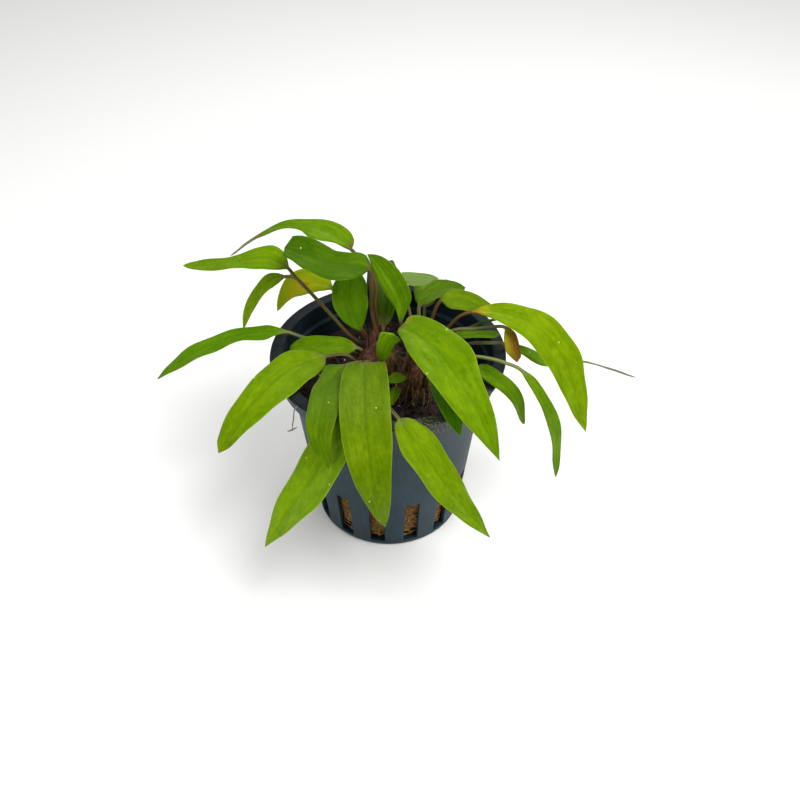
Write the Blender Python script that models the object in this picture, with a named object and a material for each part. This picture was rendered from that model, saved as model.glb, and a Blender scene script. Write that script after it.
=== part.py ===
# Potted cryptocoryne: two rosettes of lance-shaped leaves growing from a rockwool plug in a 5 cm net pot.
# Sizes and places are in millimetres, turned to metres by MM. The origin is the centre of the pot's base,
# +Z is up and -Y is the side that faces the viewer.
import math
from dataclasses import dataclass

import bmesh
import bpy
from mathutils import Matrix, Vector

MM = 0.001
GAP = 0.3  # clearance between solids that touch

# Pot
POT_HEIGHT = 48.0
RIM_RADIUS = 27.5
RIM_WIDTH = 3.1
RIM_THICKNESS = 1.0
WALL = 1.0
BASE_RADIUS = 18.2
SHOULDER_RADIUS, SHOULDER_HEIGHT = 22.2, 34.7  # where the wall starts to flare
STEP_RADIUS, STEP_HEIGHT = 24.6, 42.0  # the small step under the collar
COLLAR_RADIUS = 25.6
FLOOR_THICKNESS = 1.2
SLOT_COUNT = 14
SLOT_WIDTH = 3.6
SLOT_BOTTOM, SLOT_TOP = 1.5, 15.5
SLOT_OFFSET_DEG = -8.6  # of the slot nearest to the front, from -Y towards +X
DRAIN_COUNT = 7
DRAIN_WIDTH = 2.2
DRAIN_INNER, DRAIN_OUTER = 7.0, 14.5
TURN_STEPS = 4 * SLOT_COUNT

# Rockwool plug
PLUG_BOTTOM, PLUG_TOP = 4.0, 40.0
PLUG_EDGE_ROUND = 1.4
PLUG_STEPS = 36

# Crowns: the short fibrous stocks that the stalks grow from
CROWN_PROFILE = [(0.0, 4.0), (1.4, 4.3), (3.8, 3.9), (5.8, 2.9), (7.2, 1.7)]  # height above its foot, radius
CROWN_HEIGHT = 7.9
CROWN_RIBS = 6
CROWN_RIB_DEPTH = 0.25
CROWN_STEPS = 24
CROWNS = {"crown_left": (-2.5, 2.0), "crown_right": (6.5, -2.0)}

# Leaves
STALK_RADIUS = 0.42
BLADE_HALF_THICKNESS = 0.26
BLADE_CUP = 0.15  # how far the margins stand above the midrib, as a share of the half-width
RING_POINTS = 8
STALK_RING_PITCH = 4.0
BLADE_RING_PITCH = 3.6

# Root thread that hangs outside the collar
ROOT_RADIUS = 0.25
ROOT_ROUTE = [(-20.4, -20.2, 46.4), (-20.6, -20.3, 44.6), (-20.9, -20.4, 43.0), (-21.0, -20.6, 41.6)]

COLOURS = {
    "pot": ("#5C7288", 0.45),
    "rockwool": ("#8A6A42", 0.95),
    "crown": ("#4A2A1E", 0.8),
    "leaf_bright": ("#7FA01E", 0.4),
    "leaf_mid": ("#64881F", 0.4),
    "leaf_dark": ("#3C6414", 0.4),
    "leaf_pale": ("#7C9470", 0.5),
    "leaf_yellow": ("#A6A62C", 0.5),
    "leaf_withered": ("#A8743A", 0.7),
    "root": ("#B9B4A6", 0.8),
}


@dataclass
class Leaf:
    """One leaf: its stalk's foot on a crown, then points on the way of the stalk and of the blade's midrib."""
    name: str
    crown: str
    foot_deg: float
    foot_height: float
    stalk: list
    blade: list
    width: float
    colour: str = "leaf_bright"
    outline: list = None  # (share of the way along, margin left of the midrib, right of it), in half-widths
    rise: float = 0.42  # how fast a lance-shaped blade widens from its base, where no outline is given
    taper: float = 0.8  # how slowly it narrows towards its tip
    facing_deg: float = None  # heading that the blade's width lies square to, where it isn't base to tip
    roll_deg: tuple = (0, 0)  # turn about the midrib at the blade's base and at its tip, left margin up
    stalk_radius: float = STALK_RADIUS


LEAVES = [
    # Over the front of the rim
    Leaf("leaf_front_centre", "crown_left", 262, 45.0,
         [(-4.4, -5, 48.5)],
         [(-5, -8.4, 50.8), (-4.9, -18, 52.9), (-4.3, -30.5, 52.4), (-3.3, -38, 49), (-1.9, -41, 40.2),
          (-0.3, -41, 32.5)],
         10.8,
         outline=[(0.03, 0.8, 0.5), (0.08, 0.9, 0.65), (0.16, 0.95, 0.9), (0.35, 1, 1), (0.55, 0.95, 0.95),
                  (0.72, 0.7, 0.7), (0.85, 0.5, 0.4), (0.94, 0.25, 0.2)]),
    Leaf("leaf_front_inner", "crown_left", 232, 45.5,
         [(-6.8, -4.5, 48)],
         [(-9.5, -7, 49), (-12.5, -16, 51), (-13.6, -26, 52.5), (-13.7, -33, 50.3), (-12, -36, 45)],
         7.6, "leaf_mid",
         outline=[(0.06, 0.85, 0.85), (0.25, 1, 0.8), (0.55, 1, 0.8), (0.7, 0.85, 0.75), (0.85, 0.55, 0.5),
                  (0.95, 0.3, 0.2)]),
    Leaf("leaf_low_left", "crown_left", 247, 42.3,
         [(-4.7, -8, 46.5), (-5, -14, 49)],
         [(-6.3, -20, 50), (-9.2, -28, 49.4), (-13.5, -32.8, 43.7), (-19.5, -35.6, 34.5), (-27, -38, 22.5)],
         12.0,
         outline=[(0.1, 0.6, 0.6), (0.25, 0.9, 0.8), (0.4, 1, 0.85), (0.55, 0.95, 0.8), (0.7, 0.7, 0.7),
                  (0.82, 0.45, 0.55), (0.92, 0.2, 0.3)]),
    Leaf("leaf_front_left", "crown_left", 206, 44.0,
         [(-10, -2.4, 48.5)],
         [(-14.4, -3.2, 48.5), (-21.4, -8.8, 49.5), (-27.5, -16.4, 48.7), (-32, -21.7, 46),
          (-36.9, -25.9, 39.6)],
         10.8,
         outline=[(0.04, 0.5, 0.4), (0.25, 0.95, 0.8), (0.4, 1, 0.75), (0.6, 0.85, 0.65), (0.8, 0.55, 0.5),
                  (0.93, 0.3, 0.35)], roll_deg=(-15, -15)),
    Leaf("leaf_low_right", "crown_left", 279, 42.6,
         [(-1.8, -8, 46.2), (-1.9, -13, 48), (-0.6, -20, 49.6)],
         [(2.6, -27, 50.6), (6.8, -31.7, 47.4), (12.5, -35.7, 39.8), (22.6, -38, 25.5)],
         9.0,
         outline=[(0.08, 0.6, 0.6), (0.2, 0.9, 1), (0.4, 0.9, 0.95), (0.55, 0.75, 0.85), (0.7, 0.55, 0.6),
                  (0.85, 0.3, 0.35)], roll_deg=(15, 20)),
    Leaf("leaf_right_broad", "crown_right", 235, 46.0,
         [(4.6, -5, 51), (3.8, -4.4, 55)],
         [(2.8, -5, 58), (7.2, -10.4, 59.7), (12, -16.6, 58.8), (16.2, -22.8, 55.8), (20, -27.6, 50.9),
          (24, -31, 42.3)],
         12.0,
         outline=[(0.03, 0.5, 0.2), (0.1, 0.7, 0.45), (0.25, 0.9, 0.85), (0.4, 1, 0.95), (0.55, 0.75, 0.85),
                  (0.7, 0.55, 0.7), (0.85, 0.35, 0.35)], roll_deg=(15, 15)),
    Leaf("leaf_right_shaded", "crown_right", 290, 42.5,
         [(8.6, -9, 48)],
         [(10.8, -13, 51), (13.5, -22, 50.3), (15.8, -26.2, 45)],
         6.0, "leaf_dark"),
    # To the left
    Leaf("leaf_left_short", "crown_left", 186, 46.5,
         [],
         [(-7.4, 1.1, 47.8), (-11, 1, 48.3), (-17.4, 1.2, 48.3), (-21.6, 1.6, 47.6), (-23.5, 1.9, 46.2)],
         7.0, "leaf_mid",
         outline=[(0.08, 0.5, 0.4), (0.25, 0.9, 0.7), (0.5, 1, 0.75), (0.7, 0.9, 0.65), (0.85, 0.6, 0.45),
                  (0.94, 0.25, 0.3)], roll_deg=(-20, -20)),
    Leaf("leaf_left_long", "crown_left", 172, 44.5,
         [(-13.8, 4.7, 46.3), (-19.8, 4.6, 48)],
         [(-23.8, 3.9, 50.3), (-28.4, 3.8, 50.4), (-34.6, 4, 49.6), (-41.2, 2.6, 47.8), (-47.5, 0.4, 45.5),
          (-54.7, -2, 40.7)],
         6.0, "leaf_mid",
         outline=[(0.08, 0.5, 0.4), (0.15, 0.85, 0.6), (0.3, 0.8, 0.55), (0.42, 0.8, 0.6),
                  (0.55, 0.95, 0.7), (0.7, 0.8, 0.65), (0.85, 0.55, 0.5)], roll_deg=(-15, -15)),
    Leaf("leaf_left_high", "crown_left", 148, 46.0,
         [(-9.3, 4.6, 49), (-13.1, 6, 53.4), (-18.5, 8, 59.3), (-21.6, 9.5, 62.2)],
         [(-23, 10.1, 64), (-27.5, 11.1, 66.1), (-34.8, 13, 64.1), (-42.8, 15.6, 61.1), (-49.2, 18, 59.5)],
         6.6, "leaf_mid",
         outline=[(0.08, 0.7, 0.8), (0.16, 0.95, 1), (0.25, 1, 0.8), (0.4, 0.8, 0.55), (0.6, 0.6, 0.45),
                  (0.8, 0.5, 0.5), (0.92, 0.3, 0.35)], roll_deg=(-30, -20)),
    Leaf("leaf_left_drooping", "crown_left", 152, 43.2,
         [(-9.3, 6, 47.7), (-13.1, 7.4, 52.2), (-18.5, 9.5, 58.1), (-21.6, 10.9, 60.7)],
         [(-24.3, 11.6, 60.6), (-28.4, 11.7, 59.2), (-32.7, 9.8, 53.6), (-34.8, 8, 47.5)],
         4.4, "leaf_dark",
         outline=[(0.08, 0.7, 0.5), (0.2, 1, 0.75), (0.4, 0.9, 0.55), (0.6, 0.7, 0.55), (0.8, 0.35, 0.5)],
         roll_deg=(-25, -45)),
    Leaf("leaf_left_yellow", "crown_left", 108, 43.5,
         [(-9.2, 11, 51.5)],
         [(-13.5, 13.5, 56), (-18, 15.5, 56.6), (-23, 15.6, 54.6), (-27.2, 14.5, 48.5)],
         7.0, "leaf_yellow",
         outline=[(0.1, 0.6, 0.6), (0.25, 0.9, 0.9), (0.45, 0.85, 0.95), (0.7, 0.5, 0.7), (0.85, 0.25, 0.45)],
         roll_deg=(-30, -60)),
    # To the back
    Leaf("leaf_arching_high", "crown_left", 85, 46.0,
         [(-2.6, 4.2, 51.5), (-2.8, 3.4, 58), (-2.8, 5, 63.5)],
         [(-8.6, 14.5, 66.3), (-13.5, 18, 68.6), (-20, 20.8, 69.3), (-26.5, 22.2, 67.5), (-33.4, 23.3, 62.9),
          (-38.4, 22, 59.6)],
         8.0, "leaf_mid",
         outline=[(0.04, 0.25, 0.6), (0.1, 0.45, 0.8), (0.2, 0.95, 0.7), (0.27, 1, 0.6), (0.4, 0.5, 0.35),
                  (0.55, 0.35, 0.25), (0.7, 0.2, 0.2), (0.82, 0.08, 0.08), (0.97, 0.05, 0.05)],
         roll_deg=(-20, -20)),
    Leaf("leaf_top_dark", "crown_left", 300, 47.3,
         [(-2.4, 0.6, 52), (-3.7, 1.8, 58), (-3.7, 3.3, 63.4)],
         [(-3.9, 4.5, 67.2), (-8, 4.2, 68.6), (-12.4, 4.1, 69.2), (-17, 5, 70.5), (-22.9, 7, 71.5)],
         9.4, "leaf_dark",
         outline=[(0.08, 0.45, 0.65), (0.15, 0.6, 0.7), (0.25, 0.9, 0.6), (0.4, 1, 0.65), (0.55, 0.9, 0.8),
                  (0.7, 0.85, 0.85), (0.85, 0.65, 0.8), (0.96, 0.5, 0.7)], roll_deg=(-25, -25)),
    Leaf("leaf_centre_upright", "crown_left", 125, 46.5,
         [],
         [(-6.5, 5.4, 49.6), (-8.3, 7.4, 52.5), (-9, 9.8, 55.5), (-9, 11.6, 59), (-9.2, 13.2, 63)],
         8.8, "leaf_dark",
         outline=[(0.08, 0.3, 0.45), (0.25, 0.7, 0.8), (0.45, 1, 0.95), (0.65, 1, 0.95), (0.82, 0.75, 0.7),
                  (0.93, 0.4, 0.35)]),
    Leaf("leaf_back_pale", "crown_right", 90, 43.5,
         [(6, 4.5, 48), (4.6, 10.5, 53.3), (2, 15.5, 55.8)],
         [(3.2, 17.4, 56.2), (7.2, 18, 55.8), (12.3, 19.2, 55)],
         9.6, "leaf_pale",
         outline=[(0.06, 0.5, 0.7), (0.2, 0.5, 1), (0.4, 0.45, 0.9), (0.6, 0.35, 0.65), (0.8, 0.25, 0.25)]),
    Leaf("leaf_right_upright", "crown_right", 115, 46.5,
         [(4.2, 2, 50.5)],
         [(3, 2.4, 54.3), (3.2, 5.1, 57.5), (1.2, 7.8, 61.3), (-2.2, 11.1, 64.8), (-4.8, 13, 65.9)],
         5.8, "leaf_mid",
         outline=[(0.08, 0.3, 0.3), (0.16, 0.55, 0.45), (0.28, 0.8, 0.9), (0.45, 0.95, 1),
                  (0.6, 0.95, 0.95), (0.75, 0.8, 0.75), (0.9, 0.4, 0.4)], facing_deg=90),
    Leaf("leaf_back_right", "crown_right", 74, 46.0,
         [(7.6, 4.5, 50.5)],
         [(7.3, 8, 54.8), (9.2, 10.7, 55.8), (14.3, 14.4, 55.6), (18.7, 16.8, 54)],
         6.0, "leaf_mid",
         outline=[(0.1, 0.3, 0.65), (0.25, 0.6, 0.85), (0.4, 0.85, 0.9), (0.55, 1, 0.95), (0.7, 0.75, 0.9),
                  (0.85, 0.45, 0.7)], roll_deg=(0, 30)),
    # Hanging over the back of the rim
    Leaf("leaf_back_low_left", "crown_left", 70, 44.0,
         [],
         [(-1.2, 9, 48), (-1, 17, 52.3), (-1.5, 26, 53), (-2.5, 34, 49.5), (-4, 39, 42), (-6, 41, 32)],
         7.0, "leaf_mid"),
    Leaf("leaf_back_low_right", "crown_right", 76, 42.3,
         [(8.5, 8.5, 47.8)],
         [(8.8, 15, 49.4), (10.3, 25, 50), (13, 32, 45), (15, 35, 36)],
         7.0, "leaf_mid"),
    # To the right
    Leaf("leaf_right_inner", "crown_right", 62, 43.5,
         [(9.3, 3, 50)],
         [(12.2, 5, 58.5), (15, 5.3, 58.6), (19, 5.5, 57.5), (22.5, 5.5, 55.9), (26.8, 5, 54)],
         5.4, "leaf_mid",
         outline=[(0.05, 0.5, 0.7), (0.2, 0.95, 1), (0.5, 0.9, 1), (0.7, 0.75, 0.85), (0.85, 0.5, 0.6)],
         roll_deg=(25, 25)),
    Leaf("leaf_right_long", "crown_right", 22, 47.0,
         [(11.4, -0.4, 51.2), (13.6, 0, 54.3), (16.5, 1, 57)],
         [(19.9, 1.8, 57.7), (26.8, 0.7, 57.9), (33.6, -1.8, 56.1), (39.4, -4.9, 50.7), (43, -8.2, 43.2),
          (46.3, -12, 33)],
         9.0,
         outline=[(0.04, 0.3, 0.25), (0.15, 0.55, 0.65), (0.25, 0.7, 0.8), (0.4, 0.9, 1), (0.55, 0.9, 1),
                  (0.7, 0.7, 0.8), (0.85, 0.4, 0.55), (0.94, 0.2, 0.25)], roll_deg=(20, 45)),
    Leaf("leaf_right_thread_tip", "crown_right", 12, 43.0,
         [(15, 0, 48.3), (19.5, 0, 49.9), (23.7, 0.3, 49.8)],
         [(26.7, 0.5, 49.5), (32, 1.5, 46.5), (37.4, 2.5, 42.7), (41.8, 3, 41.8), (46.5, 3.5, 41.9),
          (53.5, 3.5, 39.4), (60.2, 3, 37.1)],
         4.2, "leaf_mid",
         outline=[(0.1, 0.4, 0.5), (0.3, 0.85, 0.9), (0.4, 0.7, 0.7), (0.5, 0.35, 0.35), (0.58, 0.12, 0.12),
                  (0.95, 0.08, 0.08)], roll_deg=(20, 20)),
    Leaf("leaf_right_slender", "crown_right", 47, 42.8,
         [(13.8, 3.1, 50)],
         [(18.3, 3.4, 51.8), (20.4, 4.2, 52), (22.9, 5, 52.4), (26, 6.2, 52.4)],
         1.6, "leaf_dark", rise=0.3, taper=0.4, roll_deg=(-35, -35)),
    Leaf("leaf_right_short", "crown_right", 358, 46.0,
         [(11.7, -2.1, 50.8)],
         [(14.2, -2, 53), (19.9, -2, 53.9), (25.5, -2, 54.1)],
         3.2, "leaf_mid", rise=0.4, taper=0.35),
    Leaf("leaf_right_withered", "crown_right", 38, 45.0,
         [(14.4, 1.9, 51.9), (20.1, 2.1, 52.6), (24.6, 1.7, 53.5)],
         [(27, 0.2, 54.3), (28.4, -1.6, 52.6), (29.6, -2.2, 49.6), (30, -2.5, 46.2)],
         5.8, "leaf_withered",
         outline=[(0.1, 0.3, 0.4), (0.25, 0.45, 0.75), (0.45, 0.35, 1), (0.65, 0.3, 0.8), (0.85, 0.4, 0.4)],
         stalk_radius=0.4, roll_deg=(20, 20)),
    Leaf("leaf_right_narrow_inner", "crown_right", 322, 43.0,
         [(14, -6.5, 48)],
         [(19.8, -8.6, 49.6), (23.6, -12.1, 49.8), (26.5, -13.9, 48.5), (28.7, -14.8, 45.7), (31, -16, 39)],
         4.0, "leaf_mid", rise=0.3, taper=0.6, roll_deg=(15, 15)),
    Leaf("leaf_right_narrow_outer", "crown_right", 342, 45.0,
         [(13.5, -5, 49.5), (19.8, -8, 52.4), (25.9, -10, 52.3)],
         [(29.8, -12, 51.6), (33.6, -15.8, 48), (36.3, -17.7, 43.6), (38.2, -18.8, 36), (39, -20, 26)],
         3.3, "leaf_mid", rise=0.5, taper=0.7, roll_deg=(5, 25)),
    # Young leaves at the crowns
    Leaf("leaf_crown_small", "crown_left", 285, 45.2,
         [],
         [(-1.5, -4.3, 48.5), (-0.6, -5, 52.7), (1.2, -5, 56.7)],
         5.2, "leaf_mid",
         outline=[(0.1, 0.35, 0.6), (0.4, 0.65, 0.7), (0.7, 0.9, 0.8), (0.9, 1, 0.9), (0.97, 0.85, 0.75)],
         facing_deg=90),
    Leaf("baby_leaf_upper", "crown_left", 300, 43.2,
         [(-0.5, -8, 48)],
         [(0, -12, 49.2), (2.2, -12.3, 49.6), (4.4, -12, 49.4)],
         3.8, stalk_radius=0.35),
    Leaf("baby_leaf_lower", "crown_left", 318, 42.0,
         [(1.6, -8, 45.2)],
         [(2, -12, 46.6), (1.6, -14.5, 46.6), (0.9, -17, 45.5)],
         2.4, stalk_radius=0.35),
]


def clear_scene():
    for obj in list(bpy.data.objects):
        bpy.data.objects.remove(obj, do_unlink=True)


def linear(hex_colour):
    """Turn an sRGB hex colour into Blender's linear values."""
    parts = [int(hex_colour[i:i + 2], 16) / 255 for i in (1, 3, 5)]
    return [c / 12.92 if c <= 0.04045 else ((c + 0.055) / 1.055) ** 2.4 for c in parts] + [1.0]


def plain_material(name):
    colour, roughness = COLOURS[name]
    material = bpy.data.materials.new(name)
    material.use_nodes = True
    shader = material.node_tree.nodes["Principled BSDF"]
    shader.inputs["Base Color"].default_value = linear(colour)
    shader.inputs["Roughness"].default_value = roughness
    shader.inputs["Metallic"].default_value = 0.0
    return material


def finish_object(name, bm, material, sharp_deg=40):
    """Put a bmesh in the scene as a closed, outward-facing, smooth-shaded object."""
    bmesh.ops.recalc_face_normals(bm, faces=bm.faces)
    mesh = bpy.data.meshes.new(name)
    bm.to_mesh(mesh)
    bm.free()
    mesh.materials.append(material)
    mesh.shade_smooth()
    mesh.set_sharp_from_angle(angle=math.radians(sharp_deg))
    obj = bpy.data.objects.new(name, mesh)
    bpy.context.scene.collection.objects.link(obj)
    return obj


def turned_solid(profile, steps, radius_at=None):
    """Turn a profile of (radius, height) about Z; points on the axis become one vertex."""
    bm = bmesh.new()
    rows = []
    for radius, height in profile:
        if radius == 0:
            rows.append([bm.verts.new((0, 0, height * MM))])
            continue
        row = []
        for i in range(steps):
            angle = math.tau * i / steps
            r = radius if radius_at is None else radius_at(radius, height, angle)
            row.append(bm.verts.new((r * MM * math.cos(angle), r * MM * math.sin(angle), height * MM)))
        rows.append(row)
    closed = profile[0][0] != 0
    pairs = zip(rows, rows[1:] + ([rows[0]] if closed else []))
    for low, high in pairs:
        for i in range(steps):
            j = (i + 1) % steps
            corners = [low[i % len(low)], low[j % len(low)], high[j % len(high)], high[i % len(high)]]
            bm.faces.new(list(dict.fromkeys(corners)))
    return bm


def inner_radius(height):
    """Inside radius of the pot's wall."""
    if height < SHOULDER_HEIGHT:
        share = height / SHOULDER_HEIGHT
        return BASE_RADIUS + share * (SHOULDER_RADIUS - BASE_RADIUS) - WALL
    share = (height - SHOULDER_HEIGHT) / (STEP_HEIGHT - SHOULDER_HEIGHT)
    return SHOULDER_RADIUS + min(share, 1.0) * (STEP_RADIUS - SHOULDER_RADIUS) - WALL


def box_corners(bm, x_range, y_range, z_range, turn_deg):
    """Add a closed box, turned about Z, to a bmesh."""
    turn = math.radians(turn_deg)
    verts = []
    for x in x_range:
        for y in y_range:
            for z in z_range:
                px = x * math.cos(turn) - y * math.sin(turn)
                py = x * math.sin(turn) + y * math.cos(turn)
                verts.append(bm.verts.new((px * MM, py * MM, z * MM)))
    for face in ((0, 1, 3, 2), (4, 6, 7, 5), (0, 4, 5, 1), (2, 3, 7, 6), (0, 2, 6, 4), (1, 5, 7, 3)):
        bm.faces.new([verts[i] for i in face])


def make_pot(material):
    """Tapered net pot: flat base, two tapers, a step under the collar and a flat flange."""
    rim_inner = RIM_RADIUS - RIM_WIDTH
    rim_under = POT_HEIGHT - RIM_THICKNESS
    chamfer = 0.7
    profile = [
        (BASE_RADIUS - chamfer, 0), (BASE_RADIUS, chamfer),
        (SHOULDER_RADIUS, SHOULDER_HEIGHT), (STEP_RADIUS, STEP_HEIGHT),
        (COLLAR_RADIUS, STEP_HEIGHT + 0.4), (COLLAR_RADIUS + 0.4, rim_under - 0.2),
        (RIM_RADIUS, rim_under), (RIM_RADIUS, POT_HEIGHT), (rim_inner, POT_HEIGHT),
        (rim_inner, STEP_HEIGHT + 1.2), (STEP_RADIUS - WALL, STEP_HEIGHT),
        (SHOULDER_RADIUS - WALL, SHOULDER_HEIGHT), (inner_radius(FLOOR_THICKNESS), FLOOR_THICKNESS),
    ]
    bm = turned_solid([(0, 0)] + profile + [(0, FLOOR_THICKNESS)], TURN_STEPS)
    pot = finish_object("net_pot", bm, material)
    cutter_mesh = bmesh.new()
    half = SLOT_WIDTH / 2
    for i in range(SLOT_COUNT):
        turn = -90 + SLOT_OFFSET_DEG + 360 * i / SLOT_COUNT
        box_corners(cutter_mesh, (14, 24), (-half, half), (SLOT_BOTTOM, SLOT_TOP), turn)
    half = DRAIN_WIDTH / 2
    for i in range(DRAIN_COUNT):
        turn = -90 + SLOT_OFFSET_DEG + 360 * i / DRAIN_COUNT
        box_corners(cutter_mesh, (DRAIN_INNER, DRAIN_OUTER), (-half, half), (-1, FLOOR_THICKNESS + 0.1), turn)
    cutter = finish_object("slot_cutter", cutter_mesh, material)
    cutter.hide_render = True
    cutter.display_type = 'WIRE'
    cut = pot.modifiers.new("slots", 'BOOLEAN')
    cut.operation = 'DIFFERENCE'
    cut.solver = 'EXACT'
    cut.object = cutter


def make_plug(material):
    """Rockwool plug, wedged in the pot's taper, with a gently uneven top edge."""
    clear = GAP + 0.2  # the extra allows for the flats between steps
    top_radius = inner_radius(PLUG_TOP) - clear

    def uneven(radius, height, angle):
        ripple = 0.12 * math.sin(5 * angle + 0.7) + 0.08 * math.sin(11 * angle)
        return radius - (0.2 + ripple if height > PLUG_BOTTOM + 1 else 0)

    profile = [
        (0, PLUG_BOTTOM), (inner_radius(PLUG_BOTTOM) - clear - 1, PLUG_BOTTOM),
        (inner_radius(PLUG_BOTTOM + 1) - clear, PLUG_BOTTOM + 1),
        (inner_radius(SHOULDER_HEIGHT) - clear, SHOULDER_HEIGHT),
        (top_radius - 0.3, PLUG_TOP - PLUG_EDGE_ROUND), (top_radius - PLUG_EDGE_ROUND, PLUG_TOP - 0.3),
        (top_radius - 4, PLUG_TOP), (0, PLUG_TOP),
    ]
    finish_object("rockwool_plug", turned_solid(profile, PLUG_STEPS, uneven), material)


def make_crown(name, place, material):
    """Low ribbed dome, standing on the plug."""
    foot = PLUG_TOP + GAP

    def ribbed(radius, height, angle):
        return radius - CROWN_RIB_DEPTH * (0.5 + 0.5 * math.cos(CROWN_RIBS * angle))

    profile = [(0, foot)] + [(radius, foot + height) for height, radius in CROWN_PROFILE]
    profile.append((0, foot + CROWN_HEIGHT))
    crown = finish_object(name, turned_solid(profile, CROWN_STEPS, ribbed), material)
    crown.data.transform(Matrix.Translation((place[0] * MM, place[1] * MM, 0)))


def crown_radius(height):
    """Radius of a crown at a height above the pot's base."""
    rise = height - PLUG_TOP - GAP
    for (low, r_low), (high, r_high) in zip(CROWN_PROFILE, CROWN_PROFILE[1:]):
        if rise <= high:
            return r_low + (r_high - r_low) * (rise - low) / (high - low)
    return CROWN_PROFILE[-1][1]


def stalk_foot(leaf):
    """Point just clear of the crown where the leaf's stalk begins."""
    angle = math.radians(leaf.foot_deg)
    reach = crown_radius(leaf.foot_height) + GAP + 0.2 + leaf.stalk_radius
    x, y = CROWNS[leaf.crown]
    return (x + reach * math.cos(angle), y + reach * math.sin(angle), leaf.foot_height)


def smooth_curve(points, steps=12):
    """Points on a centripetal Catmull-Rom curve through the given points, and the index of each given one."""
    given = [Vector(p) for p in points]
    given = [2 * given[0] - given[1]] + given + [2 * given[-1] - given[-2]]
    curve, marks = [], []
    for p0, p1, p2, p3 in zip(given, given[1:], given[2:], given[3:]):
        t1 = (p1 - p0).length ** 0.5
        t2 = t1 + (p2 - p1).length ** 0.5
        t3 = t2 + (p3 - p2).length ** 0.5
        marks.append(len(curve))
        for i in range(steps):
            t = t1 + (t2 - t1) * i / steps
            a1 = p0.lerp(p1, t / t1)
            a2 = p1.lerp(p2, (t - t1) / (t2 - t1))
            a3 = p2.lerp(p3, (t - t2) / (t3 - t2))
            b1 = a1.lerp(a2, t / t2)
            b2 = a2.lerp(a3, (t - t1) / (t3 - t1))
            curve.append(b1.lerp(b2, (t - t1) / (t2 - t1)))
    curve.append(given[-2])
    marks.append(len(curve) - 1)
    return curve, marks


def evenly(curve, pitch, least):
    """Resample a polyline at equal steps of about the given pitch."""
    lengths = [0.0]
    for a, b in zip(curve, curve[1:]):
        lengths.append(lengths[-1] + (b - a).length)
    count = max(least, round(lengths[-1] / pitch))
    out = []
    k = 0
    for i in range(count + 1):
        target = lengths[-1] * i / count
        while k < len(curve) - 2 and lengths[k + 1] < target:
            k += 1
        out.append(curve[k].lerp(curve[k + 1], (target - lengths[k]) / (lengths[k + 1] - lengths[k])))
    return out


def blade_share(t, rise, taper):
    """Width of a lance-shaped blade at t from base (0) to tip (1), as a share of its widest."""
    if t <= 0 or t >= 1:
        return 0.0
    peak = rise / (rise + taper)
    return (t ** rise * (1 - t) ** taper) / (peak ** rise * (1 - peak) ** taper)


def through(knots, t):
    """Value at t of a smooth line through (place, value) knots, which doesn't swing past them."""
    slopes = [(b[1] - a[1]) / (b[0] - a[0]) for a, b in zip(knots, knots[1:])]
    turns = [2 * a * b / (a + b) if a * b > 0 else 0.0 for a, b in zip(slopes, slopes[1:])]
    tangents = [slopes[0]] + turns + [slopes[-1]]
    i = max(k for k in range(len(slopes)) if k == 0 or knots[k][0] <= t)
    (t0, v0), (t1, v1) = knots[i:i + 2]
    x = (t - t0) / (t1 - t0)
    return ((2 * x ** 3 - 3 * x ** 2 + 1) * v0 + (x ** 3 - 2 * x ** 2 + x) * (t1 - t0) * tangents[i]
            + (3 * x ** 2 - 2 * x ** 3) * v1 + (x ** 3 - x ** 2) * (t1 - t0) * tangents[i + 1])


def half_widths(leaf, t):
    """Half-widths of the leaf at t along its blade, left and right of the midrib."""
    least = leaf.stalk_radius * (1 - t)
    half = leaf.width / 2
    if leaf.outline is None or t == 0:
        return [max(least, half * blade_share(t, leaf.rise, leaf.taper))] * 2
    both = []
    for side in (1, 2):
        knots = [(0.0, least / half)] + [(row[0], row[side]) for row in leaf.outline] + [(1.0, 0.0)]
        both.append(max(least, half * through(knots, t)))
    return both


def skin_rings(bm, rings):
    """Join rings of equal count into a closed skin; an end ring of one vertex is a point, others get a cap."""
    for low, high in zip(rings, rings[1:]):
        for k in range(len(low)):
            j = (k + 1) % len(low)
            bm.faces.new(list(dict.fromkeys((low[k], low[j], high[j % len(high)], high[k % len(high)]))))
    for ring in (rings[0], rings[-1]):
        if len(ring) > 1:
            bm.faces.new(ring)


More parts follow.
